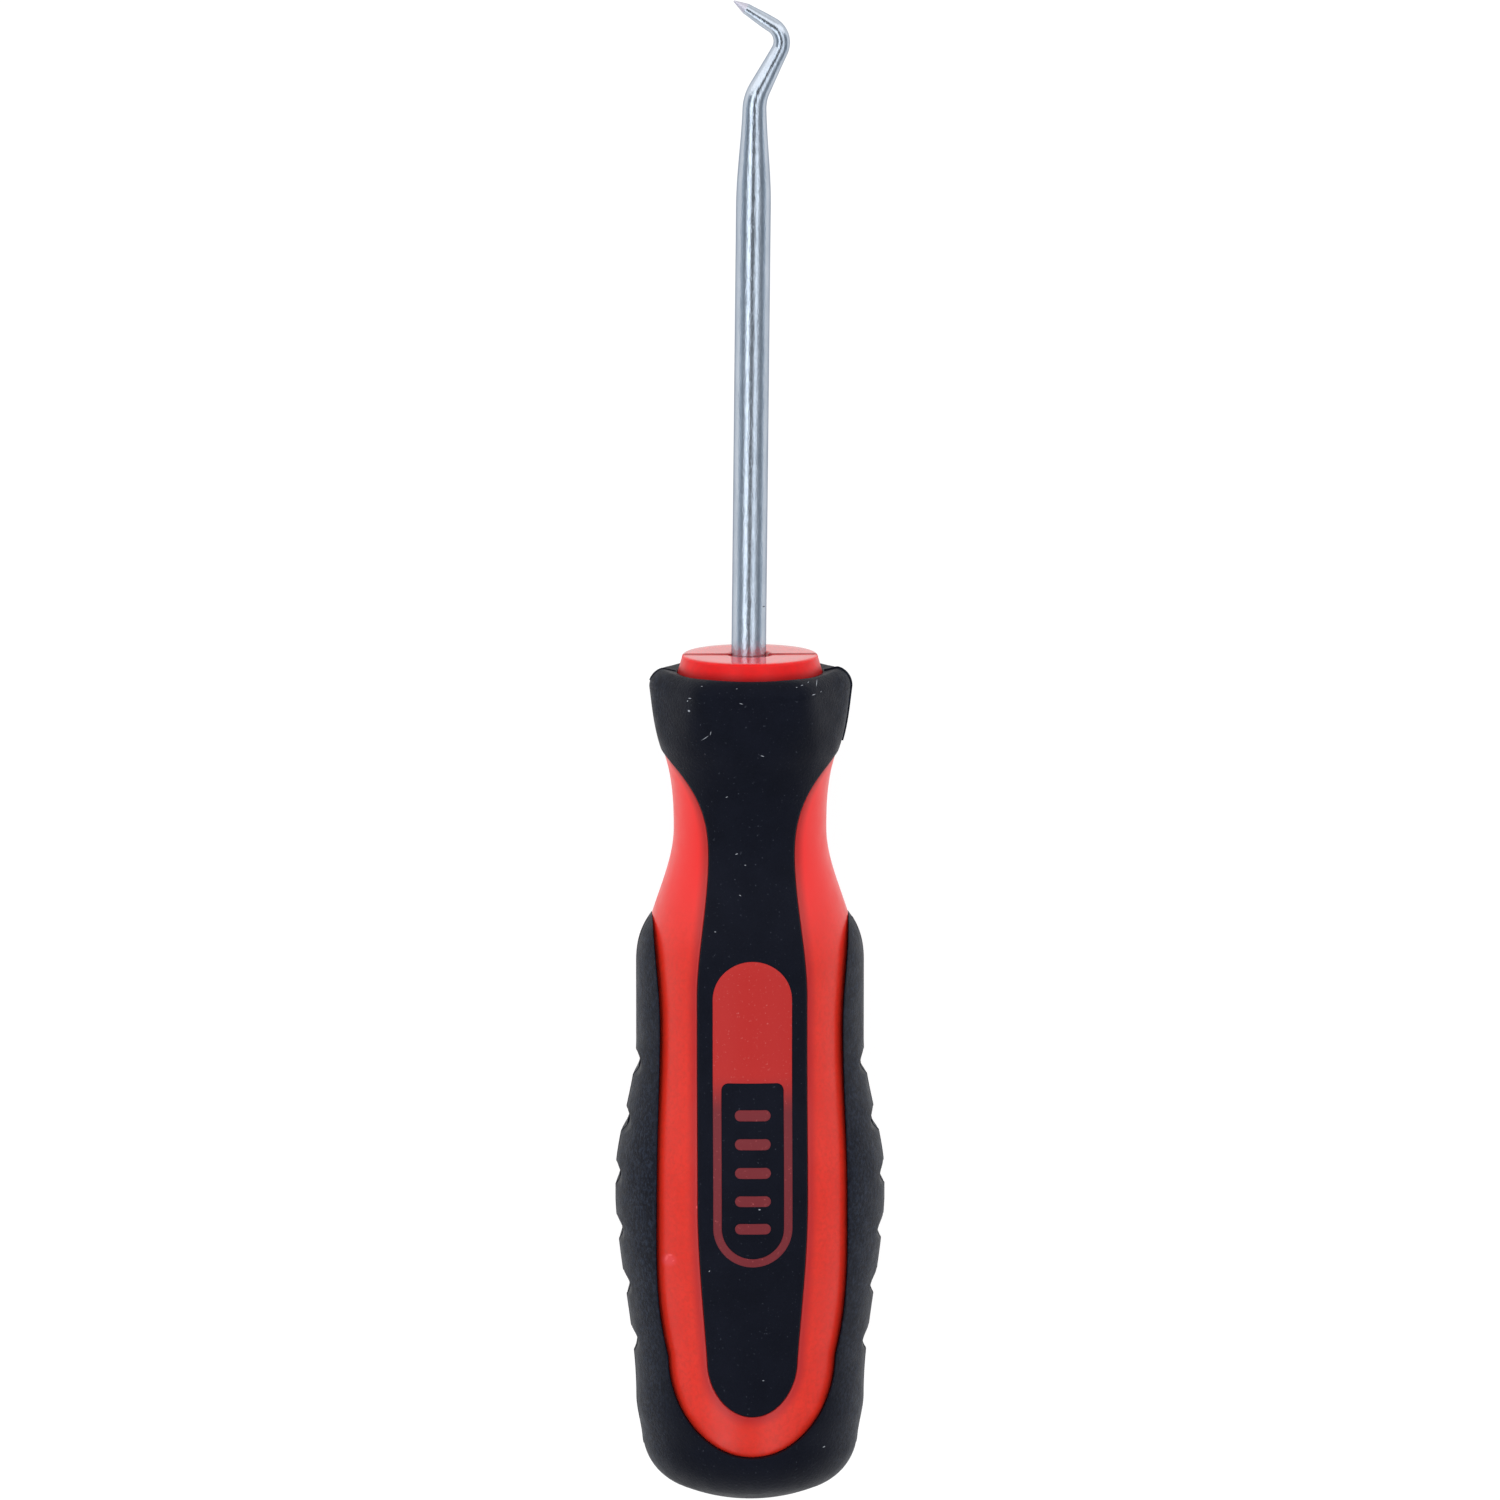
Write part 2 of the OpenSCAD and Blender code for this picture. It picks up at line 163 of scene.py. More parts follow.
# How far the flash ends off the collar, below the pads' points and, on the left, above the guard's seat
FLASH_OFF_COLLAR = 0.1
FLASH_OFF_TIP = 0.5
LEFT_FLASH_UP = 0.5

# The badge
BADGE_R = 3.65
BADGE_Z = 24.1
BADGE_LEN = 28.3
BADGE_RIM = 0.78
BADGE_STEP = 0.08
BADGE_ROUND = 0.06
WINDOW_LEN = 16.2
WINDOW_CORNER = 0.7
# How far above the window the plain rows end, and where the fan of rows round its corners starts
FIELD_END = 1.2
FAN_START = 1.1
BAR_COUNT = 5
BAR_W = 3.3
BAR_H = 1.0
BAR_PITCH = 2.6
BAR_MIDDLE_SHARE = 0.98

# The hook's wire
SHAFT_R = 1.6
WIRE_SUNK = 0.5
WIRE_OFF = -0.12
SHAFT_LEAN = math.radians(0.6)
TAPER_LEN = 6.8
TAPER_EASE = 2.0
BEND_R = 4.2
BEND_D = 2.2
LEG_ANGLE = math.radians(27)
LEG_LEN = 6.6
ELBOW_R = 1.8
ELBOW_D = 1.35
NOSE_ANGLE = math.radians(31.5)
NOSE_LEN = 5.85
NOSE_D = 1.0
POINT_LEN = 1.3
POINT_D = 0.14

# Small marks of use, as (x, z, half length, half width, turn in degrees)
LINT = [
    (-5.77, 75.3, 0.09, 0.08, 0), (-5.7, 76.5, 0.12, 0.03, 10), (-5.9, 76.2, 0.07, 0.03, 60),
    (-4.3, 72.9, 0.35, 0.02, 38), (-3.8, 73.4, 0.16, 0.02, 75), (-1.0, 76.2, 0.14, 0.025, -12),
    (0.95, 71.3, 0.14, 0.03, -15), (6.0, 77.7, 0.22, 0.025, 80), (5.7, 76.8, 0.14, 0.03, 5),
    (-2.3, 67.3, 0.1, 0.025, 30), (-1.4, 62.0, 0.11, 0.03, 20), (-0.6, 61.0, 0.07, 0.03, 0),
    (-1.1, 58.3, 0.09, 0.025, -30), (-3.4, 55.0, 0.07, 0.03, 0), (0.6, 29.6, 0.09, 0.045, 0),
    (-4.0, 23.6, 0.08, 0.03, 50), (1.0, 13.1, 0.07, 0.03, 0), (6.7, 6.2, 0.1, 0.04, 20),
    (4.6, 77.75, 0.1, 0.02, 10), (4.1, 77.62, 0.06, 0.02, 0), (5.2, 77.9, 0.07, 0.02, 30),
    (-4.6, 77.7, 0.06, 0.02, 0), (-1.4, 77.55, 0.07, 0.015, 5), (6.4, 76.9, 0.06, 0.02, 60),
]
SCUFFS = [(-7.7, 24.2, 0.6, 0.5, 20)]
RED_MARKS = [(-7.9, 24.4, 0.3, 0.12, 70), (-7.6, 24.7, 0.2, 0.1, 10), (-7.3, 24.2, 0.12, 0.05, 40),
             (-5.15, 29.6, 0.12, 0.06, 90)]
STEEL_MARKS = [(1.25, 84.1, 0.1, 0.05, 0)]

# Colours, as linear red, green, blue and alpha; two together are the ends of a tone that varies
RUBBER_TONES = (0.0024, 0.0028, 0.0054, 1), (0.0038, 0.0044, 0.0082, 1)
RUBBER_SPECK = (0.05, 0.055, 0.07, 1)
# A bluish grain with painted sheen, laid on the rubber's outer sides
GRAIN_AND_SHEEN_TONE = (0.017, 0.023, 0.038, 1)
# Painted shade in the finger notches
NOTCH_SHADE = (0.004, 0.0045, 0.007, 1)
LINT_TONE = (0.42, 0.44, 0.48, 1)
RUBBER_SHEEN = (0.62, 0.69, 1.0, 1)
RED_TONES = (0.68, 0.022, 0.010, 1), (0.75, 0.028, 0.013, 1)
RED_PATCH = (0.61, 0.025, 0.012, 1)
# Painted light on the bands at the waist
WAIST_LIGHT = (0.84, 0.018, 0.014, 1)
# Painted shade on the bands along their edges next to the centre strip
BAND_EDGE_SHADE = (0.47, 0.013, 0.011, 1)
SCUFF_TONE = (0.74, 0.045, 0.045, 1)
RED_MARK_TONE = (0.82, 0.08, 0.08, 1)
COLLAR_TONES = (0.85, 0.006, 0.006, 1), (0.76, 0.008, 0.008, 1)
# Painted shade on the collar's side near its foot
COLLAR_FOOT_SHADE = (0.42, 0.002, 0.003, 1)
FACE_TONES = (0.84, 0.010, 0.010, 1), (0.74, 0.012, 0.012, 1)
PARTING_DARK = (0.3, 0.02, 0.02, 1)
BADGE_TONES = (0.46, 0.017, 0.014, 1), (0.168, 0.015, 0.021, 1)
BADGE_FLECK = (0.55, 0.12, 0.12, 1)
STEEL_TONES = (0.44, 0.49, 0.56, 1), (0.54, 0.59, 0.66, 1)
STEEL_MARK_TONE = (0.05, 0.05, 0.055, 1)
GROUND_TONE = (0.62, 0.60, 0.68, 1)
STEEL_SHEEN = (0.40, 0.43, 0.48, 1)

# Where a tone starts to change and where the change is complete, in millimetres
# Where the painted sheen on the rubber's sides starts and where it is full
GRAIN_AND_SHEEN_X = (6.5, 10.0)
NOTCH_ALONG = (1.2, 0.8)
NOTCH_ACROSS = (3.8, 2.8)
WAIST_LIGHT_Z = (50, 60)
BAND_EDGE_SHADE_IN = (1.3, 0.2)
COLLAR_FOOT_SHADE_Z = (GUARD_Z + 0.5, GUARD_Z - 0.4)
BADGE_DARK_Z = (BADGE_Z + BADGE_RIM + WINDOW_LEN + 1.0, BADGE_Z + BADGE_RIM + WINDOW_LEN - 3.0)
GROUND_FROM_TIP = (POINT_LEN + 0.12, POINT_LEN + 0.02)
DULL_Z = (122, 104)
# The same in noise, for mottling, red patches, rubbed grains, specks and flecks
MOTTLE = (0.3, 0.7)
PATCHES = (0.35, 0.75)
GRAINS = (0.4, 0.72)
SPECKS = (0.71, 0.86)
FLECKS = (0.6, 0.85)
# The same for the rims of small marks, in shares of their half sizes, and the depth that counts as the front
MARK_RIM = (1.4, 0.6)
FRONT_Y = -0.2

# Roughness of each finish, from its smoother to its rougher patches
RUBBER_ROUGH = (0.46, 0.56)
BAND_ROUGH = (0.30, 0.40)
COLLAR_ROUGH = (0.33, 0.42)
FACE_ROUGH = (0.05, 0.09)
POLISHED_ROUGH = (0.11, 0.18)
DULL_ROUGH = (0.17, 0.25)
BADGE_ROUGHNESS = 0.5
GROUND_ROUGHNESS = 0.5

# The tent's strength round the tool, as (degrees from straight up, strength)
TENT = [
    (-90, 0.7), (-72, 0.5), (-62, 0.28), (-50, 0.3), (-42, 1.0), (-37, 2.1), (-22, 2.1), (-16, 0.3),
    (-10, 0.15), (5, 0.15), (11, 0.5), (16, 1.7), (28, 1.6), (38, 0.6), (58, 0.28), (70, 0.3),
    (80, 0.6), (90, 0.75),
]
# How much bluer than grey the tent is near its top and lower down, and the angle where that changes
COOL_TOP = 0.05
COOL_SIDE = 0.12
COOL_TURN = 50
# The tent's two ends, and the brighter panel beyond the hook, by how far a direction points along the tool
TENT_END = (0.4, 0.85)
END_STRENGTH = 0.9
PANEL_RISE = (0.27, 0.38)
PANEL_FALL = (0.8, 0.62)
PANEL_STRENGTH = 1.6

# The floor's half width in metres, its glow and its greys
FLOOR_HALF = 3.0
FLOOR_GLOW = 0.9
PAPER_GREY = 0.18
FLOOR_GREY = 0.85

# Where the photograph was taken from
CAMERA_DISTANCE = 1000.0
CAMERA_AIM_Z = 70.55
CAMERA_ELEVATION = math.radians(9.07)
CAMERA_SIDE = math.radians(1.3)
SENSOR = 36.0
FIELD_WIDTH = 138.9

# The soft boxes, in metres and watts
BOX_SIZE = (1.2, 0.8)
BOX_AWAY = 0.9
BOX_UP = 0.4
BOX_POWER = 1.2


def hermite(a, b, va, vb, ma, mb, z):
    """A smooth curve from one height to another, from the values and slopes at both."""
    t = (z - a) / (b - a)
    return (va * (2 * t**3 - 3 * t**2 + 1) + vb * (3 * t**2 - 2 * t**3)
            + (b - a) * (ma * (t**3 - 2 * t**2 + t) + mb * (t**3 - t**2)))


def smooth_line(sections):
    """A smooth curve through sections of (height, value, slope), as a function of height."""

    def value(z):
        z = np.asarray(z, float)
        out = np.full(z.shape, float(sections[0][1]))
        for (a, va, ma), (b, vb, mb) in zip(sections, sections[1:]):
            inside = (z >= a) & (z <= b)
            out[inside] = hermite(a, b, va, vb, ma, mb, z[inside])
        out[z > sections[-1][0]] = sections[-1][1]
        return out

    return value


def body_sections(step):
    """Sections of the body's side, at a step up from the red surface below the guard."""
    return [
        (BUTT_H, BUTT_R + step, 0),
        (BELLY_Z, BELLY_R + step, 0),
        (SHANK_FOOT, SHANK_R + step, 0),
        (SHANK_TOP, SHANK_R + step, 0),
        (WAIST_Z, WAIST_R + step, 0),
        (THROAT_Z, THROAT_R + step, 0.36),
        (GUARD_SEAT_Z, GUARD_R, 0.14),
    ]


def body_side(step):
    """Radius of the turned body at a height, with its draft under the pads."""
    line = smooth_line(body_sections(step))

    def radius(z):
        z = np.asarray(z, float)
        return line(z) - FOOT_DRAFT * np.clip((BUTT_H - z) / (BUTT_H - CORE_FOOT_Z), 0, 2)

    return radius


red_radius = body_side(0.0)
strip_radius = body_side(STRIP_STEP)
badge_radius = body_side(STRIP_STEP + BADGE_STEP - SKIN)
PAD_TIP_R = float(red_radius(PAD_TIP_Z))
pad_line = smooth_line([
    (BUTT_H, BUTT_R + PAD_STEP - SKIN, 0),
    (BELLY_Z, BELLY_R + PAD_STEP - SKIN, 0),
    (SHANK_FOOT, SHANK_R + PAD_STEP - SKIN, 0),
    (SHANK_TOP, SHANK_R + PAD_STEP - SKIN, 0),
    (PAD_TIP_Z, PAD_TIP_R + 0.05, -0.75),
])


def pad_profile():
    """The pads' and the butt's half profile from the middle of the dome up: lengths, radii and heights."""
    side_r = BUTT_R + PAD_STEP - SKIN
    round_r = side_r - BUTT_DRAFT - BUTT_ROUND
    turn = math.asin(round_r / (DOME_R - BUTT_ROUND))
    round_z = DOME_R - (DOME_R - BUTT_ROUND) * math.cos(turn)
    a = np.linspace(0, turn, DOME_POINTS)
    dome = np.column_stack([DOME_R * np.sin(a), SKIN + DOME_R * (1 - np.cos(a))])
    a = np.linspace(turn, BUTT_TURN, BUTT_POINTS)[1:]
    edge = np.column_stack([round_r + BUTT_ROUND * np.sin(a), round_z - BUTT_ROUND * np.cos(a)])
    foot_z, foot_r = edge[-1, 1], edge[-1, 0]
    z = np.linspace(foot_z, BUTT_H, BUTT_FOOT_POINTS)[1:]
    foot = np.column_stack([hermite(foot_z, BUTT_H, foot_r, side_r, BUTT_SLOPE, 0, z), z])
    z = np.linspace(BUTT_H, PAD_TIP_Z, PAD_SIDE_POINTS)[1:]
    side = np.column_stack([pad_line(z), z])
    points = np.vstack([dome, edge, foot, side])
    run = np.concatenate([[0], np.cumsum(np.hypot(*np.diff(points, axis=0).T))])
    return run, points[:, 0], points[:, 1]


PAD_RUN, PAD_R, PAD_Z = pad_profile()

# Round feet of the outlines seen from the front: lowest point, height and half width
STRIP_FOOT = (9.6, 5.2, 4.15)
BAND_FOOT = (5.6, 9.2, 7.75)
STRIP_FOOT_TOP = STRIP_FOOT[0] + STRIP_FOOT[1]
BAND_FOOT_TOP = BAND_FOOT[0] + BAND_FOOT[1]

# The strip's flare, which ends as a straight diagonal outside the guard
FLARE_Z = THROAT_Z - 1.0
FLARE_HALF = 7.1
SKIRT_R = GUARD_R + 1.0
SKIRT_Z = FLARE_Z + SKIRT_R - FLARE_HALF

# Outlines seen from the front, as half widths against heights
strip_half = smooth_line([
    (STRIP_FOOT_TOP, STRIP_FOOT[2], 0.07),
    (BELLY_Z, 5.05, 0),
    (SHANK_TOP - 2, 5.05, 0),
    (WAIST_Z - 1.7, 3.95, 0),
    (FLARE_Z, FLARE_HALF, 1),
    (SKIRT_Z, SKIRT_R, 1),
])
band_half = smooth_line([
    (BAND_FOOT_TOP, BAND_FOOT[2], 0.26),
    (BELLY_Z, 8.83, 0),
    (BELLY_Z + 15.5, 8.46, 0),
    (PAD_TIP_Z, PAD_TIP_R, 0.05),
])


def run_out(radius):
    """Height at which the flare's diagonal leaves a turned surface at its side."""
    z = np.linspace(FLARE_Z, SKIRT_Z, RUN_OUT_SEARCH)
    return float(z[np.argmax(strip_half(z) >= radius(z))])


RED_END = run_out(red_radius)
RUBBER_END = run_out(strip_radius)


def foot_curve(foot, phi):
    """Points on an outline's round foot, from its middle to its full half width."""
    z, h, half = foot
    return half * np.sin(phi), z + h * (1 - np.cos(phi))


def angle_at(x, radius):
    """The angle from the front at which a turned surface reaches a half width."""
    return np.arcsin(np.clip(x / radius, -1, 1))


# Offsets and depths of the points across a rounded edge, for a fillet of 1
EDGE_STEPS = [(1 - math.cos(a), 1 - math.sin(a)) for a in np.radians([0, 22, 45, 67, 90])]


def across(length, columns, in_edge, out_edge, fillet, wall):
    """Places from 0 to 1 across a row of a given length, and how far each point sinks."""
    f = min(fillet, FILLET_SHARE * length)
    places = [(0, wall * in_edge)] + [(f * d, f * s * in_edge) for d, s in EDGE_STEPS]
    ends = [(length, wall * out_edge)] + [(length - f * d, f * s * out_edge) for d, s in EDGE_STEPS]
    middle = [(p, 0) for p in np.linspace(f, length - f, columns + 2)[1:-1]]
    row = places + middle + ends[::-1]
    at = np.array([p for p, _ in row]) / max(length, SHORTEST)
    return np.clip(at, 0, 1), np.array([s for _, s in row])


def ribbon(inner, outer, surface, columns, in_edge, out_edge, fillet=EDGE_ROUND, wall=WALL, mix=None):
    """A grid between two curves of (angle, run) points on a surface, whose rounded edges sink inwards.

    Each point is its place and its distance from the inner curve. A row with a mix under 1 runs partly
    straight across the dome instead of round it.
    """
    rows = []
    for i, ((ta, va), (tb, vb)) in enumerate(zip(inner, outer)):
        ra, za = surface(np.array([ta]), np.array([va]))
        rb, zb = surface(np.array([tb]), np.array([vb]))
        length = math.hypot((ra[0] + rb[0]) / 2 * (tb - ta), zb[0] - za[0])
        p, sink = across(length, columns, in_edge[i], out_edge[i], fillet, wall)
        theta = ta + (tb - ta) * p
        run = va + (vb - va) * p
        if mix is not None and mix[i] < 1:
            flat_x = va * math.sin(ta) * (1 - p) + vb * math.sin(tb) * p
            flat_y = va * math.cos(ta) * (1 - p) + vb * math.cos(tb) * p
            x = mix[i] * run * np.sin(theta) + (1 - mix[i]) * flat_x
            y = mix[i] * run * np.cos(theta) + (1 - mix[i]) * flat_y
            theta, run = np.arctan2(x, y), np.hypot(x, y)
        r, z = surface(theta, run)
        y = np.minimum(sink - r * np.cos(theta), 0)
        rows.append(np.column_stack([r * np.sin(theta), y, z, p * length]))
    return np.array(rows)


def mirrored(grid):
    """The same grid on the left, with its faces turned to look outwards."""
    return (grid * np.array([-1, 1, 1, 1][:grid.shape[2]]))[:, ::-1]


def turned_half(grid):
    """The same grid on the back of the handle."""
    return grid * np.array([-1, -1, 1, 1][:grid.shape[2]])


def rest_pose():
    """Tilt and height at which the upright tool lies on its guard and its belly."""
    z = np.linspace(BUTT_H, SHANK_FOOT, REST_SEARCH)
    slope = (strip_radius(z) - GUARD_FLAT) / (GUARD_SEAT_Z - z)
    tilt = math.atan(slope.max())
    return tilt, GUARD_FLAT * math.cos(tilt) + GUARD_SEAT_Z * math.sin(tilt)


TILT, LIE_H = rest_pose()
LYING = (Matrix.Translation((0, -TOOL_LEN / 2 * math.cos(TILT) * MM, LIE_H * MM))
         @ Matrix.Rotation(-math.pi / 2 - TILT, 4, "X") @ Matrix.Scale(MM, 4))


def make(name, grids, material, node=None, closed=False):
    """One piece from grids of upright points, laid down with the tool."""
    mesh = bmesh.new()
    edge = mesh.verts.layers.float.new("edge")
    for grid in grids:
        rows, cols, values = grid.shape
        verts = [mesh.verts.new(LYING @ Vector(p[:3])) for p in grid.reshape(-1, values)]
        if values > 3:
            for vert, distance in zip(verts, grid[..., 3].ravel()):
                vert[edge] = distance
        for i in range(rows - 1):
            low, high = i * cols, (i + 1) * cols
            for j in range(cols if closed else cols - 1):
                k = (j + 1) % cols
                mesh.faces.new((verts[low + j], verts[low + k], verts[high + k], verts[high + j]))
    bmesh.ops.remove_doubles(mesh, verts=mesh.verts, dist=MERGED)
    bmesh.ops.dissolve_degenerate(mesh, dist=VANISHED, edges=mesh.edges)
    data = bpy.data.meshes.new(name)
    mesh.to_mesh(data)
    mesh.free()
    data.polygons.foreach_set("use_smooth", [True] * len(data.polygons))
    data.materials.append(material)
    piece = bpy.data.objects.new(name, data)
    bpy.context.scene.collection.objects.link(piece)
    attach(piece, "root")
    if node:
        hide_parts(node)


def turned(radius):
    """A surface whose radius depends on the height alone."""

    def surface(theta, z):
        return radius(z), z

    return surface


def lower_of(a, b, softness):
    """The lower of two values, blended softly where they cross."""
    return np.minimum(a, b) - softness * np.log1p(np.exp(-np.abs(a - b) / softness))


def pad_surface(theta, run):
    """The pads' radius and height, with the notches pressed into the sides."""
    r = np.interp(run, PAD_RUN, PAD_R)
    z = np.interp(run, PAD_RUN, PAD_Z)
    limit = np.full(r.shape, np.inf)
    for i in range(NOTCH_COUNT):
        notch_z = NOTCH_Z + i * NOTCH_PITCH
        floor_x = float(pad_line(notch_z)) - NOTCH_DEPTH + NOTCH_R
        dz = np.clip(np.abs(z - notch_z) / NOTCH_R, 0, 1)
        limit = np.where(dz < 1, np.minimum(limit, floor_x - NOTCH_R * np.sqrt(1 - dz**2)), limit)
    pressed = lower_of(r * np.sin(theta), limit, NOTCH_SOFTNESS)
    return np.hypot(pressed, r * np.cos(theta)), z


# The mouldings

def heights(start, first, middle, second, end):
    """Heights above a start, at a first step up to a middle height and at a second step up to the end."""
    return np.concatenate([np.arange(start + first, middle, first), np.arange(middle, end, second), [end]])


def band_grid():
    """The red surface of one side of the front, from the middle of the foot up under the guard."""
    phi = np.linspace(0, math.pi / 2, FOOT_ROWS)
    xi, zi = foot_curve(STRIP_FOOT, phi)
    xo, zo = foot_curve(BAND_FOOT, phi)
    u = np.linspace(0, 1, BAND_LOWER_ROWS)[1:]
    z = heights(BELLY_Z, ROW, SHANK_TOP, FINE_ROW, RED_END)
    zi = np.concatenate([zi, STRIP_FOOT_TOP + (BELLY_Z - STRIP_FOOT_TOP) * u, z])
    zo = np.concatenate([zo, BAND_FOOT_TOP + (BELLY_Z - BAND_FOOT_TOP) * u, z])
    xi = np.concatenate([xi, strip_half(zi[len(xi):])])
    xo = np.concatenate([xo, band_half(zo[len(xo):])])
    inner = np.column_stack([angle_at(xi, red_radius(zi)), zi])
    outer = np.column_stack([angle_at(xo, red_radius(zo)), zo])
    outer[zo >= PAD_TIP_Z, 0] = math.pi / 2
    in_edge = np.ones(len(zi))
    out_edge = np.clip((PAD_TIP_Z - zo) / BAND_EDGE_END, 0, 1)
    return ribbon(inner, outer, turned(red_radius), BAND_COLUMNS, in_edge, out_edge)


def strip_grid():
    """One side of the front centre strip, from its foot up to the guard."""
    phi = np.linspace(0, math.pi / 2, FOOT_ROWS)
    xo, zo = foot_curve(STRIP_FOOT, phi)
    zi = np.full(len(zo), STRIP_FOOT_TOP)
    z = heights(STRIP_FOOT_TOP, ROW, STRIP_FINE_Z, FINE_ROW, FLARE_Z)
    zi, zo = np.concatenate([zi, z]), np.concatenate([zo, z])
    xo = np.concatenate([xo, strip_half(z)])
    outer = np.column_stack([angle_at(xo, strip_radius(zo)), zo])
    inner = np.column_stack([np.zeros(len(zi)), zi])
    return ribbon(inner, outer, turned(strip_radius), STRIP_COLUMNS, np.zeros(len(zi)), np.ones(len(zi)))


def guard_rows():
    """Angles, heights and sunk edges of the guard's side, from the flare up to the shoulder."""
    rows = []
    for z in np.linspace(FLARE_Z, RUBBER_END, FLARE_ROWS):
        r = float(strip_radius(z))
        edge = float(angle_at(strip_half(z), r))
        edge_left = min(1.0, (RUBBER_END - z) / GUARD_EDGE_END)
        p, sink = across(r * edge, GUARD_COLUMNS, 0, edge_left, EDGE_ROUND, WALL)
        rows.append((p * edge, np.full(len(p), z), sink))
    for z in np.arange(RUBBER_END + GUARD_ROW_GAP, GUARD_SEAT_Z, GUARD_ROW):
        rows.append((p * math.pi / 2, np.full(len(p), z), sink * 0))
    return rows


def dish_height(r):
    """Height of the guard's top at a radius, in the shallow dish round the collar."""
    return GUARD_Z - GUARD_DISH * np.clip((DISH_R - r) / (DISH_R - COLLAR_R), 0, 1)


def guard_grid():
    """One side of the front of the guard, up over its shoulder and down into the dish."""
    grid = []
    for theta, z, sink in guard_rows():
        r = guard_radius(theta, strip_radius(z), GUARD_FLAT)
        grid.append(np.column_stack([r * np.sin(theta), np.minimum(sink - r * np.cos(theta), 0), z]))
    theta = np.linspace(0, math.pi / 2, len(theta))
    for a in np.radians(np.linspace(0, 90, SHOULDER_ROWS)):
        inset = GUARD_ROUND * (1 - math.cos(a))
        r = guard_radius(theta, GUARD_R - inset, GUARD_FLAT - inset)
        z = lower_of(GUARD_SEAT_Z + GUARD_ROUND * math.sin(a), dish_height(r), DISH_SOFTNESS)
        grid.append(np.column_stack([r * np.sin(theta), -r * np.cos(theta), z]))
    top = guard_radius(theta, GUARD_R - GUARD_ROUND, GUARD_FLAT - GUARD_ROUND)
    for share, drop in DISH_RINGS:
        r = top + (COLLAR_R + COLLAR_GAP - top) * share
        z = lower_of(GUARD_Z, dish_height(r), DISH_SOFTNESS) - drop
        grid.append(np.column_stack([r * np.sin(theta), -r * np.cos(theta), z]))
    return np.array(grid)


def guard_radius(theta, turned_r, flat):
    """The six flats and the turned envelope, blended into soft corners."""
    off = (theta + math.pi / 6) % (math.pi / 3) - math.pi / 6
    return lower_of(turned_r, flat / np.cos(off), CORNER_SOFTNESS)


def pad_grid():
    """One front quarter of the butt and of a side pad, from the middle of the dome up to the pad's point."""
    phi = np.linspace(0, math.pi / 2, PAD_FOOT_ROWS)
    xo, zo = foot_curve(BAND_FOOT, phi)
    z = heights(BAND_FOOT_TOP, NOTCH_ROW, NOTCH_END_Z, PAD_ROW, PAD_TIP_Z)
    zi = np.concatenate([zo, z])
    xi = np.concatenate([xo, band_half(z)])
    run_i = np.interp(zi, PAD_Z, PAD_RUN)
    theta_i = angle_at(xi, np.interp(run_i, PAD_RUN, PAD_R))
    theta_i[-1] = math.pi / 2
    top = run_i[len(phi) - 1]
    t = np.linspace(0, 1, len(phi))
    run_o = np.concatenate([top * t, run_i[len(phi):]])
    inner = np.column_stack([theta_i, run_i])
    outer = np.column_stack([np.full(len(run_o), math.pi / 2), run_o])
    mix = np.concatenate([t**2 * (3 - 2 * t), np.ones(len(z))])
    edge = np.clip((PAD_TIP_Z - zi) / PAD_EDGE_END, 0, 1)
    return ribbon(inner, outer, pad_surface, PAD_COLUMNS, edge, np.zeros(len(zi)), wall=PAD_WALL, mix=mix)


def fin(x, z, height):
    """A thin fin in the middle plane, standing out from a side profile by a height."""
    across_x, across_z = np.gradient(z), -np.gradient(x)
    size = np.hypot(across_x, across_z)
    across_x, across_z = across_x / size, across_z / size
    root, half = -FLASH_ROOT, FLASH_HALF
    lines = []
    for out, y in [(root, -half), (height, -half), (height, half), (root, half)]:
        wide = np.minimum(x + across_x * out, BELLY_R + PAD_STEP - SKIN / 2)
        lines.append(np.column_stack([wide, np.full(len(x), y), z + across_z * out]))
    return np.stack(lines, axis=1)


def flash_grids():
    """What the mould left on the rubber where it parts: along both pads and over the guard's shoulders."""
    shoulder = guard_grid()[:, -1]
    shoulder = shoulder[(shoulder[:, 2] > GUARD_FLASH_Z) & (shoulder[:, 0] > COLLAR_R + FLASH_OFF_COLLAR)]
    upper = shoulder[shoulder[:, 2] > GUARD_SEAT_Z + LEFT_FLASH_UP]
    run = np.linspace(np.interp(BUTT_ROUND, PAD_Z, PAD_RUN), PAD_RUN[-1] - FLASH_OFF_TIP, FLASH_POINTS)
    r, z = pad_surface(np.full(run.shape, math.pi / 2), run)
    height = np.maximum(PAD_FLASH, np.interp(run, PAD_RUN, PAD_R) - NOTCH_FLASH - r)
    right = fin(shoulder[:, 0], shoulder[:, 2], GUARD_FLASH)
    left = fin(upper[:, 0], upper[:, 2], GUARD_FLASH / 2)
    pad = fin(r, z, height)
    flip = np.array([-1, 1, 1])
    return [right, left * flip, pad, pad * flip]


def whole(grid):
    """A quarter's grid on both sides of the front and the back."""
    both = [grid, mirrored(grid)]
    return both + [turned_half(g) for g in both]


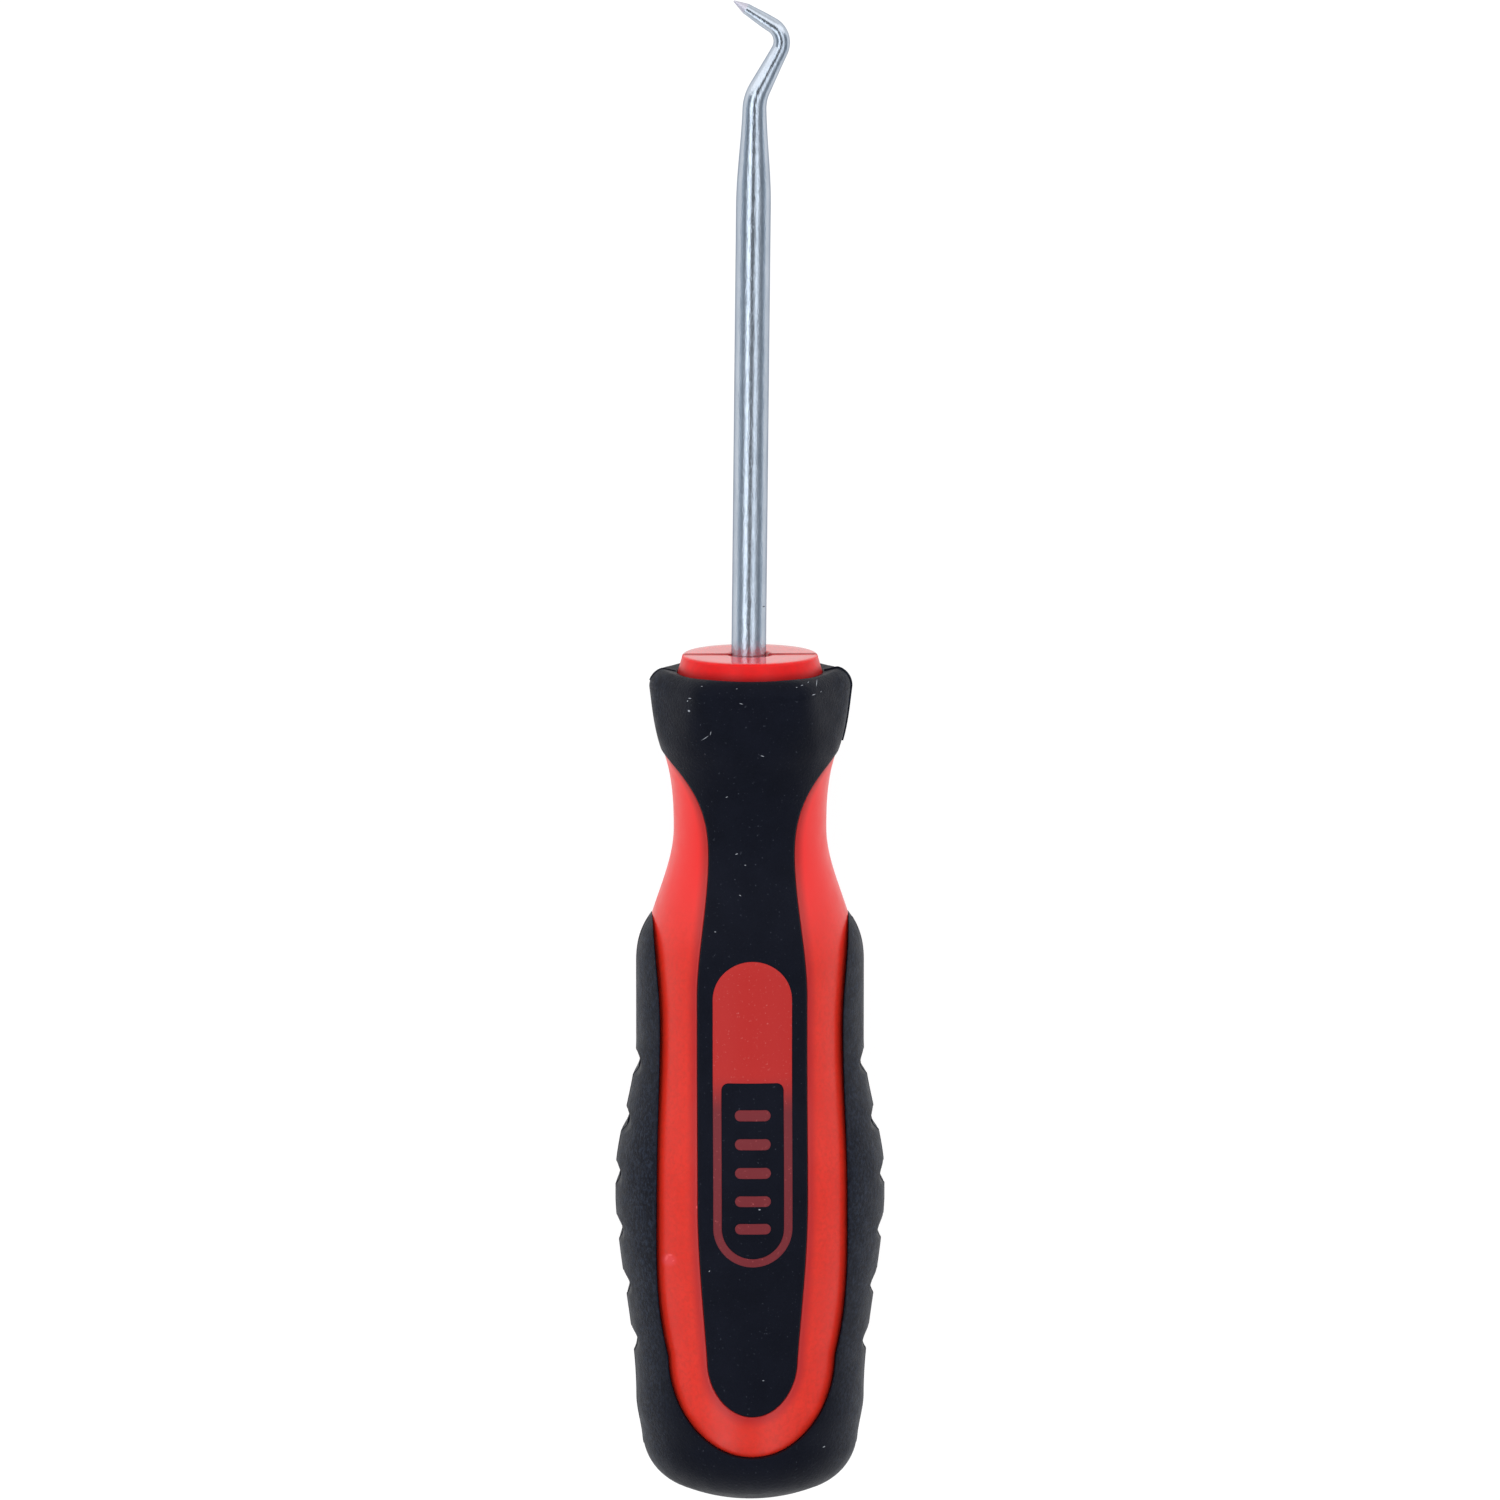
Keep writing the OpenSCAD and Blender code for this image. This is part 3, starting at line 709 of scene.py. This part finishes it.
def collar_grids():
    """The collar's side with the lower part of the rounded rim, and its face with the rest of the rim."""
    theta = np.linspace(0, 2 * math.pi, COLLAR_POINTS + 1)[:-1]
    foot = GUARD_Z - GUARD_DISH
    lower = np.where(np.cos(theta) > HAIR, PARTING_STEP, 0)

    def rings(line):
        return np.array([[(r * math.sin(t), -r * math.cos(t), z - (low if z > foot else 0))
                          for t, low in zip(theta, lower)] for r, z in line])

    a = np.radians(np.linspace(0, 90, RIM_POINTS))
    rim_r = COLLAR_FACE_R - COLLAR_ROUND + COLLAR_ROUND * np.cos(a)
    rim_z = HANDLE_LEN - COLLAR_ROUND + COLLAR_ROUND * np.sin(a)
    rim = list(zip(rim_r, rim_z))
    side = [(COLLAR_R, foot - COLLAR_SUNK), (COLLAR_R, foot)] + rim[:RIM_SIDE_STEPS + 1]
    face = rim[RIM_SIDE_STEPS:] + [(r, HANDLE_LEN) for r in COLLAR_RINGS]
    face += [(SHAFT_R + out, HANDLE_LEN + up) for out, up in COLLAR_MOUTH]
    return rings(side), rings(face)


# The badge

def badge_rim_grid():
    """One side of the capsule, from the middle of its upper end down round the window."""
    low, high = BADGE_Z + BADGE_R, BADGE_Z + BADGE_LEN - BADGE_R
    window_r = BADGE_R - BADGE_RIM
    window_top = BADGE_Z + BADGE_RIM + WINDOW_LEN
    corner = WINDOW_CORNER
    phi = np.linspace(0, math.pi / 2, BADGE_END_ROWS)
    # Each row is its outer end, its inner end, and 1 where the inner edge is rounded
    rows = [((BADGE_R * math.sin(a), high + BADGE_R * math.cos(a)), (0, high), 0.0) for a in phi]
    field = np.linspace(high, window_top + FIELD_END, FIELD_ROWS)[1:]
    rows += [((BADGE_R, z), (0, z), 0.0) for z in field]
    rows.append(((BADGE_R, window_top + FAN_START), (0, window_top + BADGE_ROUND), 0.0))
    edge = [(x, window_top) for x in np.linspace(0, window_r - corner, WINDOW_TOP_ROWS)]
    edge += [(window_r - corner + corner * math.sin(a), window_top - corner + corner * math.cos(a))
             for a in np.linspace(0, math.pi / 2, WINDOW_CORNER_ROWS)[1:]]
    for k, point in enumerate(edge):
        t = k / (len(edge) - 1)
        rows.append(((BADGE_R, window_top + FAN_START - (corner + FAN_START) * t), point, 1.0))
    side = np.linspace(window_top - corner, low, WINDOW_SIDE_ROWS)[1:]
    rows += [((BADGE_R, z), (window_r, z), 1.0) for z in side]
    rows += [((BADGE_R * math.cos(a), low - BADGE_R * math.sin(a)),
              (window_r * math.cos(a), low - window_r * math.sin(a)), 1.0) for a in phi[1:]]
    outer, inner, in_edge = zip(*rows)
    return badge_ribbon(inner, outer, in_edge, BADGE_COLUMNS)


def badge_ribbon(inner, outer, in_edge, columns):
    """A grid on the badge's surface between two curves of (x, z) points."""

    def on_badge(points):
        points = np.array(points, float)
        return np.column_stack([angle_at(points[:, 0], badge_radius(points[:, 1])), points[:, 1]])

    return ribbon(on_badge(inner), on_badge(outer), turned(badge_radius), columns, in_edge,
                  np.ones(len(in_edge)), fillet=BADGE_ROUND, wall=BADGE_WALL)


def bar_grid(z):
    """One side of a plain round-ended bar."""
    end = (BAR_W - BAR_H) / 2
    a = np.linspace(math.pi / 2, -math.pi / 2, BAR_END_ROWS)
    outer = [(x, z + BAR_H / 2) for x in (0, end / 2)]
    outer += [(end + BAR_H / 2 * math.cos(t), z + BAR_H / 2 * math.sin(t)) for t in a]
    outer += [(x, z - BAR_H / 2) for x in (end / 2, 0)]
    inner = [(min(x, end) * BAR_MIDDLE_SHARE, z) for x, _ in outer]
    return badge_ribbon(inner, outer, [0.0] * len(outer), BAR_COLUMNS)


# The hook

def wire_path():
    """Centreline points, directions and radii of the wire above the collar, in the plane of the hook."""
    elbow_turn = LEG_ANGLE + math.pi / 2 - NOSE_ANGLE
    bend_tangent = BEND_R * math.tan(LEG_ANGLE / 2)
    elbow_tangent = ELBOW_R * math.tan(elbow_turn / 2)
    hook_h = LEG_LEN * math.cos(LEG_ANGLE) + NOSE_LEN * math.sin(NOSE_ANGLE)
    straight = TOOL_LEN - HANDLE_LEN - hook_h - bend_tangent - TAPER_LEN
    legs = [
        ("line", WIRE_SUNK + straight + TAPER_LEN, 120),
        ("turn", BEND_R, LEG_ANGLE, 24),
        ("line", LEG_LEN - bend_tangent - elbow_tangent, 24),
        ("turn", ELBOW_R, -elbow_turn, 36),
        ("line", NOSE_LEN - elbow_tangent, 60),
    ]
    x, z, heading, run = 0.0, -WIRE_SUNK, 0.0, -WIRE_SUNK
    points = [(x, z, heading, run)]
    for leg in legs:
        steps = leg[-1]
        for _ in range(steps):
            if leg[0] == "line":
                step = leg[1] / steps
                turn = 0.0
            else:
                turn = leg[2] / steps
                step = leg[1] * abs(turn)
            heading += turn / 2
            x += math.sin(heading) * step
            z += math.cos(heading) * step
            heading += turn / 2
            run += step
            points.append((x, z, heading, run))
    points = np.array(points)
    end = points[-1, 3]
    radius = smooth_line([
        (straight - TAPER_EASE, SHAFT_R, 0),
        (straight + TAPER_LEN, BEND_D / 2, -0.03),
        (straight + TAPER_LEN + 4.5, ELBOW_D / 2 + 0.18, -0.06),
        (end - 3.6, ELBOW_D / 2, -0.04),
        (end - POINT_LEN, NOSE_D / 2, -0.05),
        (end - POINT_LEN + 0.06, NOSE_D / 2 - 0.015, -0.33),
        (end, POINT_D / 2, -0.33),
    ])(points[:, 3])
    return points, radius


def on_tool(points):
    """Points of the hook's plane, leaned as the wire is and set on the collar."""
    lean = np.array(Matrix.Rotation(SHAFT_LEAN, 3, "Y"))
    return points @ lean.T + np.array([WIRE_OFF, 0, HANDLE_LEN])


def hook_tip():
    """Place of the hook's tip, upright."""
    x, z = wire_path()[0][-1, :2]
    return tuple(float(v) for v in on_tool(np.array([x, 0, z])))


def wire_grid():
    """Rings of points round the wire, which close in its tip."""
    points, radius = wire_path()
    theta = np.linspace(0, 2 * math.pi, WIRE_POINTS + 1)[:-1]
    rows = []
    for (x, z, heading, _), r in zip(points, radius):
        side = np.array([math.cos(heading), 0, -math.sin(heading)])
        ring = np.array([x, 0, z]) + r * (np.outer(np.sin(theta), side) + np.outer(-np.cos(theta), [0, 1, 0]))
        rows.append(on_tool(ring))
    tip = rows[-1].mean(axis=0)
    rows.append(np.repeat(tip[None], len(theta), axis=0))
    return np.array(rows)


# Materials

def nodes_of(name):
    """A new material with its nodes and its shader."""
    material = bpy.data.materials.new(name)
    material.use_nodes = True
    tree = material.node_tree
    return material, tree, tree.nodes["Principled BSDF"]


def feed(tree, socket, value):
    """Links a node's output to a socket, or sets the socket to a plain value."""
    if isinstance(value, bpy.types.NodeSocket):
        tree.links.new(value, socket)
    else:
        socket.default_value = value


def add(tree, kind, settings=None, **inputs):
    """A new node with its settings and its inputs by name, or by number as i0, i1 and so on."""
    node = tree.nodes.new(kind)
    for key, value in (settings or {}).items():
        setattr(node, key, value)
    for key, value in inputs.items():
        numbered = key[0] == "i" and key[1:].isdigit()
        feed(tree, node.inputs[int(key[1:]) if numbered else key], value)
    return node


def calc(tree, operation, *values):
    """The result of a math node on one or two values."""
    node = add(tree, "ShaderNodeMath", {"operation": operation})
    for socket, value in zip(node.inputs, values):
        feed(tree, socket, value)
    return node.outputs[0]


def dress(tree, shader, values):
    """Gives the shader's sockets their values, by name."""
    for name, value in values.items():
        feed(tree, shader.inputs[name], value)


def upright(tree):
    """Upright coordinates in millimetres, for marks and textures that have a place on the tool."""
    place = add(tree, "ShaderNodeTexCoord")
    back = LYING.inverted()
    tilt = back.to_euler()
    scale = add(tree, "ShaderNodeMapping", {"vector_type": "POINT"}, Vector=place.outputs["Object"])
    scale.inputs["Location"].default_value = back.translation
    scale.inputs["Rotation"].default_value = tilt
    scale.inputs["Scale"].default_value = (1 / MM, 1 / MM, 1 / MM)
    return scale.outputs["Vector"]


def noise(tree, at, scale, detail, rough=0.5, stretch=(1, 1, 1)):
    """Noise at a place, from 0 to 1 with most of it near the middle."""
    moved = add(tree, "ShaderNodeMapping", Vector=at)
    moved.inputs["Scale"].default_value = stretch
    return add(tree, "ShaderNodeTexNoise", Vector=moved.outputs["Vector"], Scale=scale, Detail=detail,
               Roughness=rough).outputs["Fac"]


def ramp(tree, value, stops):
    """Colours blended between stops of (value, colour)."""
    node = add(tree, "ShaderNodeValToRGB", Fac=value)
    elements = node.color_ramp.elements
    elements[0].position, elements[0].color = stops[0]
    elements[1].position, elements[1].color = stops[-1]
    for place, color in stops[1:-1]:
        elements.new(place).color = color
    return node.outputs["Color"]


def grey(v):
    return (v, v, v, 1)


def fade(tree, value, start, end, kind="SMOOTHSTEP"):
    """A step from 0 at one value to 1 at another, with soft ends unless its kind is linear."""
    node = add(tree, "ShaderNodeMapRange", {"interpolation_type": kind}, Value=value)
    node.inputs["From Min"].default_value = start
    node.inputs["From Max"].default_value = end
    return node.outputs["Result"]


def mottled(tree, value, first, second):
    """A tone that goes from one colour to another with the noise."""
    return ramp(tree, value, [(MOTTLE[0], first), (MOTTLE[1], second)])


def uneven(tree, value, limits):
    """A roughness that varies between two limits with the noise."""
    return mottled(tree, value, *[grey(limit) for limit in limits])


def blend(tree, factor, first, second):
    """The first colour where the factor is 0, and the second where it is 1."""
    node = add(tree, "ShaderNodeMix", {"data_type": "RGBA"}, Factor=factor, A=first, B=second)
    return node.outputs["Result"]


def bump(tree, height, strength, distance, normal=None):
    """A surface raised by a height, on top of another bump where one is given."""
    node = add(tree, "ShaderNodeBump", Height=height, Strength=strength, Distance=distance)
    if normal is not None:
        tree.links.new(normal, node.inputs["Normal"])
    return node.outputs["Normal"]


def spots(tree, at, marks):
    """How far small marks on the front cover a place."""
    split = add(tree, "ShaderNodeSeparateXYZ", Vector=at)
    flat = add(tree, "ShaderNodeCombineXYZ", X=split.outputs["X"], Y=split.outputs["Z"])
    cover = 0.0
    for x, z, long, wide, turn in marks:
        near = add(tree, "ShaderNodeMapping", {"vector_type": "TEXTURE"}, Vector=flat.outputs[0])
        near.inputs["Location"].default_value = (x, z, 0)
        near.inputs["Rotation"].default_value = (0, 0, math.radians(turn))
        near.inputs["Scale"].default_value = (long, wide, 1)
        far = add(tree, "ShaderNodeVectorMath", {"operation": "LENGTH"}, i0=near.outputs["Vector"])
        cover = calc(tree, "MAXIMUM", cover, fade(tree, far.outputs["Value"], *MARK_RIM, "LINEAR"))
    return calc(tree, "MULTIPLY", cover, calc(tree, "LESS_THAN", split.outputs["Y"], FRONT_Y))


def in_notch(tree, place):
    """How deep in a finger notch a place on the rubber is, from its upright X, Y and Z."""
    first = NOTCH_Z - NOTCH_PITCH / 2
    last = NOTCH_Z + (NOTCH_COUNT - 1) * NOTCH_PITCH + NOTCH_PITCH / 2
    held = add(tree, "ShaderNodeClamp", Value=place.outputs["Z"], Min=first, Max=last).outputs[0]
    above = calc(tree, "SUBTRACT", held, NOTCH_Z - NOTCH_COUNT * NOTCH_PITCH)
    away = calc(tree, "PINGPONG", above, NOTCH_PITCH / 2)
    aside = calc(tree, "ABSOLUTE", place.outputs["Y"])
    return calc(tree, "MULTIPLY", fade(tree, away, *NOTCH_ALONG), fade(tree, aside, *NOTCH_ACROSS))


def parting_line(tree, at):
    """A darker tone in the step where the mould parts, across the collar's face."""
    split = add(tree, "ShaderNodeSeparateXYZ", Vector=at)
    line = calc(tree, "LESS_THAN", calc(tree, "ABSOLUTE", split.outputs["Y"]), PARTING_REACH)
    low = calc(tree, "GREATER_THAN", split.outputs["Z"], HANDLE_LEN - PARTING_STEP + HAIR)
    high = calc(tree, "LESS_THAN", split.outputs["Z"], HANDLE_LEN - HAIR)
    return calc(tree, "MULTIPLY", line, calc(tree, "MULTIPLY", low, high))


def rubber_material():
    """The rubber, with a bluish grain and painted sheen at the sides, painted shade in the notches, and
    specks and lint.
    """
    material, tree, shader = nodes_of("black rubber")
    at = upright(tree)
    split = add(tree, "ShaderNodeSeparateXYZ", Vector=at)
    tone = mottled(tree, noise(tree, at, scale=0.35, detail=3), *RUBBER_TONES)
    specks = fade(tree, noise(tree, at, scale=4.5, detail=1), *SPECKS, "LINEAR")
    tone = blend(tree, specks, tone, RUBBER_SPECK)
    # Painted sheen in a grain on the outer sides, with painted shade in the notches
    aside = fade(tree, calc(tree, "ABSOLUTE", split.outputs["X"]), *GRAIN_AND_SHEEN_X)
    grains = fade(tree, noise(tree, at, scale=2.6, detail=3, rough=0.7), *GRAINS)
    # Painted shade in the notches in place of the painted sheen
    grain_with_sheen_and_shade = blend(tree, in_notch(tree, split), GRAIN_AND_SHEEN_TONE, NOTCH_SHADE)
    tone = blend(tree, calc(tree, "MULTIPLY", aside, grains), tone, grain_with_sheen_and_shade)
    tone = blend(tree, spots(tree, at, LINT), tone, LINT_TONE)
    texture = noise(tree, at, scale=3.5, detail=4, rough=0.65)
    dress(tree, shader, {
        "Base Color": tone,
        "Roughness": uneven(tree, noise(tree, at, scale=0.6, detail=4), RUBBER_ROUGH),
        "Specular IOR Level": 0.12,
        "Specular Tint": RUBBER_SHEEN,
        "Normal": bump(tree, texture, strength=0.9, distance=0.00006),
    })
    return material


def band_material():
    """The bands: with painted light at the waist, and painted shade towards the rubber of the centre strip.
    """
    material, tree, shader = nodes_of("red plastic")
    at = upright(tree)
    split = add(tree, "ShaderNodeSeparateXYZ", Vector=at)
    edge = add(tree, "ShaderNodeAttribute", {"attribute_name": "edge"}).outputs["Fac"]
    tone = mottled(tree, noise(tree, at, scale=0.25, detail=3), *RED_TONES)
    patches = fade(tree, noise(tree, at, scale=2.5, detail=4, rough=0.6), *PATCHES)
    tone = blend(tree, patches, tone, RED_PATCH)
    # Painted light at the waist
    tone = blend(tree, fade(tree, split.outputs["Z"], *WAIST_LIGHT_Z), tone, WAIST_LIGHT)
    # Painted shade towards the centre strip
    tone = blend(tree, fade(tree, edge, *BAND_EDGE_SHADE_IN), tone, BAND_EDGE_SHADE)
    tone = blend(tree, spots(tree, at, SCUFFS), tone, SCUFF_TONE)
    tone = blend(tree, spots(tree, at, RED_MARKS), tone, RED_MARK_TONE)
    texture = noise(tree, at, scale=2.2, detail=4, rough=0.6)
    dress(tree, shader, {
        "Base Color": tone,
        "Roughness": uneven(tree, noise(tree, at, scale=0.8, detail=4), BAND_ROUGH),
        "Specular IOR Level": 0.4,
        "Normal": bump(tree, texture, strength=0.25, distance=0.00003),
    })
    return material


def collar_material():
    """The collar's side, with painted shade towards its foot in the dish."""
    material, tree, shader = nodes_of("collar side")
    at = upright(tree)
    split = add(tree, "ShaderNodeSeparateXYZ", Vector=at)
    tone = blend(tree, fade(tree, noise(tree, at, scale=1.5, detail=3), *MOTTLE), *COLLAR_TONES)
    # Painted shade towards the collar's foot
    tone = blend(tree, fade(tree, split.outputs["Z"], *COLLAR_FOOT_SHADE_Z), tone, COLLAR_FOOT_SHADE)
    dress(tree, shader, {
        "Base Color": tone,
        "Roughness": uneven(tree, noise(tree, at, scale=0.8, detail=4), COLLAR_ROUGH),
        "Specular IOR Level": 0.2,
    })
    return material


def face_material():
    """The collar's polished face, darker in the step across it."""
    material, tree, shader = nodes_of("collar face")
    at = upright(tree)
    tone = blend(tree, fade(tree, noise(tree, at, scale=1.5, detail=3), *MOTTLE), *FACE_TONES)
    texture = noise(tree, at, scale=0.9, detail=3, rough=0.5)
    dress(tree, shader, {
        "Base Color": blend(tree, parting_line(tree, at), tone, PARTING_DARK),
        "Roughness": uneven(tree, noise(tree, at, scale=0.8, detail=4), FACE_ROUGH),
        "Specular IOR Level": 0.3,
        "Normal": bump(tree, texture, strength=0.12, distance=0.00003),
    })
    return material


def badge_material():
    """The capsule's red, darker round the window than above it, with pale flecks."""
    material, tree, shader = nodes_of("badge red")
    at = upright(tree)
    split = add(tree, "ShaderNodeSeparateXYZ", Vector=at)
    tone = blend(tree, fade(tree, split.outputs["Z"], *BADGE_DARK_Z), *BADGE_TONES)
    flecks = fade(tree, noise(tree, at, scale=4.0, detail=3, rough=0.6), *FLECKS)
    texture = noise(tree, at, scale=4.0, detail=4, rough=0.6)
    dress(tree, shader, {
        "Base Color": blend(tree, flecks, tone, BADGE_FLECK),
        "Roughness": BADGE_ROUGHNESS,
        "Specular IOR Level": 0.25,
        "Normal": bump(tree, texture, strength=0.3, distance=0.00003),
    })
    return material


def steel_material():
    """The plated wire: polished at the hook, duller along the shaft, and matt where its point is ground."""
    material, tree, shader = nodes_of("plated steel")
    at = upright(tree)
    split = add(tree, "ShaderNodeSeparateXYZ", Vector=at)
    away = add(tree, "ShaderNodeVectorMath", {"operation": "DISTANCE"}, i0=at, i1=hook_tip()).outputs["Value"]
    ground = fade(tree, away, *GROUND_FROM_TIP)
    tone = mottled(tree, noise(tree, at, scale=1.2, detail=4, rough=0.6, stretch=(1, 1, 0.25)), *STEEL_TONES)
    tone = blend(tree, spots(tree, at, STEEL_MARKS), tone, STEEL_MARK_TONE)
    patches = noise(tree, at, scale=2.5, detail=4)
    polished = uneven(tree, patches, POLISHED_ROUGH)
    dull = uneven(tree, patches, DULL_ROUGH)
    rough = blend(tree, fade(tree, split.outputs["Z"], *DULL_Z), polished, dull)
    coarse = noise(tree, at, scale=1.5, detail=3, rough=0.6, stretch=(1, 1, 0.3))
    fine = noise(tree, at, scale=6.0, detail=5, rough=0.65, stretch=(1, 1, 0.35))
    drawn = bump(tree, coarse, strength=0.5, distance=0.00006)
    dress(tree, shader, {
        "Base Color": blend(tree, ground, tone, GROUND_TONE),
        "Metallic": 1.0,
        "Roughness": blend(tree, ground, rough, grey(GROUND_ROUGHNESS)),
        "Specular Tint": STEEL_SHEEN,
        "Normal": bump(tree, fine, strength=0.45, distance=0.00004, normal=drawn),
    })
    return material


# Stage, lights and camera

def floor():
    """A pale floor, which the camera and the reflections see as bright paper."""
    corners = [(-FLOOR_HALF, -FLOOR_HALF, 0), (FLOOR_HALF, -FLOOR_HALF, 0),
               (FLOOR_HALF, FLOOR_HALF, 0), (-FLOOR_HALF, FLOOR_HALF, 0)]
    data = bpy.data.meshes.new("floor")
    data.from_pydata(corners, [], [(0, 1, 2, 3)])
    piece = bpy.data.objects.new("floor", data)
    bpy.context.scene.collection.objects.link(piece)
    material, tree, shader = nodes_of("pale floor")
    light = add(tree, "ShaderNodeLightPath")
    seen = calc(tree, "MAXIMUM", light.outputs["Is Camera Ray"], light.outputs["Is Glossy Ray"])
    seen = calc(tree, "MAXIMUM", seen, light.outputs["Is Transmission Ray"])
    glow = add(tree, "ShaderNodeEmission", Color=grey(1), Strength=FLOOR_GLOW)
    paper = add(tree, "ShaderNodeBsdfDiffuse", Color=grey(PAPER_GREY))
    shown = add(tree, "ShaderNodeAddShader", i0=glow.outputs[0], i1=paper.outputs[0])
    plain = add(tree, "ShaderNodeBsdfDiffuse", Color=grey(FLOOR_GREY))
    mix = add(tree, "ShaderNodeMixShader", i0=seen, i1=plain.outputs[0], i2=shown.outputs[0])
    tree.links.new(mix.outputs[0], tree.nodes["Material Output"].inputs["Surface"])
    tree.nodes.remove(shader)
    data.materials.append(material)


def sky():
    """A white tent, open above the tool where the camera looks in, with a bright slit on each side."""
    world = bpy.data.worlds.new("tent")
    bpy.context.scene.world = world
    world.use_nodes = True
    tree = world.node_tree
    tree.nodes.clear()
    place = add(tree, "ShaderNodeTexCoord")
    split = add(tree, "ShaderNodeSeparateXYZ", Vector=place.outputs["Generated"])
    along = split.outputs["Y"]
    angle = calc(tree, "ARCTAN2", split.outputs["X"], split.outputs["Z"])

    def stop(degrees, strength):
        cool = COOL_TOP if abs(degrees) < COOL_TURN else COOL_SIDE
        return 0.5 + degrees / 180, ((1 - cool) * strength, strength, (1 + cool) * strength, 1)

    spread = fade(tree, angle, -math.pi / 2, math.pi / 2, "LINEAR")
    tint = ramp(tree, spread, [stop(degrees, strength) for degrees, strength in TENT])
    ends = fade(tree, calc(tree, "ABSOLUTE", along), *TENT_END)
    tint = blend(tree, ends, tint, grey(END_STRENGTH))
    panel = calc(tree, "MULTIPLY", fade(tree, along, *PANEL_RISE), fade(tree, along, *PANEL_FALL))
    tint = blend(tree, panel, tint, grey(PANEL_STRENGTH))
    light = add(tree, "ShaderNodeLightPath")
    room = add(tree, "ShaderNodeBackground", Color=tint, Strength=1.0)
    white = add(tree, "ShaderNodeBackground", Color=grey(1), Strength=1.0)
    seen = light.outputs["Is Camera Ray"]
    mix = add(tree, "ShaderNodeMixShader", i0=seen, i1=room.outputs[0], i2=white.outputs[0])
    out = tree.nodes.new("ShaderNodeOutputWorld")
    tree.links.new(mix.outputs[0], out.inputs["Surface"])


def lamps():
    """Two soft boxes low at the sides, for the colours rather than for reflections."""
    for side in (-1, 1):
        data = bpy.data.lights.new("soft_box", "AREA")
        data.shape = "RECTANGLE"
        data.size, data.size_y = BOX_SIZE
        data.energy = BOX_POWER
        piece = bpy.data.objects.new("soft_box", data)
        place = Vector((side * BOX_AWAY, 0, BOX_UP))
        piece.matrix_world = Matrix.Translation(place) @ place.to_track_quat("Z", "Y").to_matrix().to_4x4()
        piece.visible_glossy = False
        bpy.context.scene.collection.objects.link(piece)


def camera():
    """The photograph's view: from above the badge side, a little towards the hook and to the left."""
    axis = (LYING.to_3x3() @ Vector((0, 0, 1))).normalized()
    front = (LYING.to_3x3() @ Vector((0, -1, 0))).normalized()
    side = (LYING.to_3x3() @ Vector((1, 0, 0))).normalized()
    back = front * math.cos(CAMERA_ELEVATION) + axis * math.sin(CAMERA_ELEVATION)
    back = (back - side * math.tan(CAMERA_SIDE)).normalized()
    right = axis.cross(back).normalized()
    up = back.cross(right).normalized()
    data = bpy.data.cameras.new("camera")
    data.sensor_width = SENSOR
    data.lens = SENSOR * CAMERA_DISTANCE / FIELD_WIDTH
    data.clip_end = 10
    piece = bpy.data.objects.new("camera", data)
    turn = Matrix((right, up, back)).transposed().to_4x4()
    aim = LYING @ Vector((0, 0, CAMERA_AIM_Z))
    piece.matrix_world = Matrix.Translation(aim + back * CAMERA_DISTANCE * MM) @ turn
    bpy.context.scene.collection.objects.link(piece)
    bpy.context.scene.camera = piece


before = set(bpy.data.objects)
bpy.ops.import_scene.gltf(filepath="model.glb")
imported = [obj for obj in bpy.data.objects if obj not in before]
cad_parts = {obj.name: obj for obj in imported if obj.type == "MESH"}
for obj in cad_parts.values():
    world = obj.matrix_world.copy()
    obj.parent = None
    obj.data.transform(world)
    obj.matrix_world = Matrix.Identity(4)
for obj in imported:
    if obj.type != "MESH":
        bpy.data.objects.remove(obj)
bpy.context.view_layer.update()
bpy.context.scene.view_settings.view_transform = "Standard"
camera()
floor()
sky()
lamps()

red = band_material()
rubber = rubber_material()
badge_red = badge_material()
steel = steel_material()

make("hook", [wire_grid()], steel, "hook_shaft", closed=True)
make("bands", whole(band_grid()), red, "handle_core")
collar_side, collar_face = collar_grids()
make("collar", [collar_side], collar_material(), closed=True)
make("collar_face", [collar_face], face_material(), closed=True)
badge_side = badge_rim_grid()
make("capsule", [badge_side, mirrored(badge_side)], badge_red)
for index in range(BAR_COUNT):
    bar = bar_grid(BADGE_Z + BADGE_R + index * BAR_PITCH)
    make(f"bar_{index + 1}", [bar, mirrored(bar)], badge_red)
make("upper_rubber", whole(strip_grid()) + whole(guard_grid()), rubber, "upper_grip")
make("lower_rubber", whole(pad_grid()), rubber, "lower_grip")
make("flash", flash_grids(), rubber, closed=True)
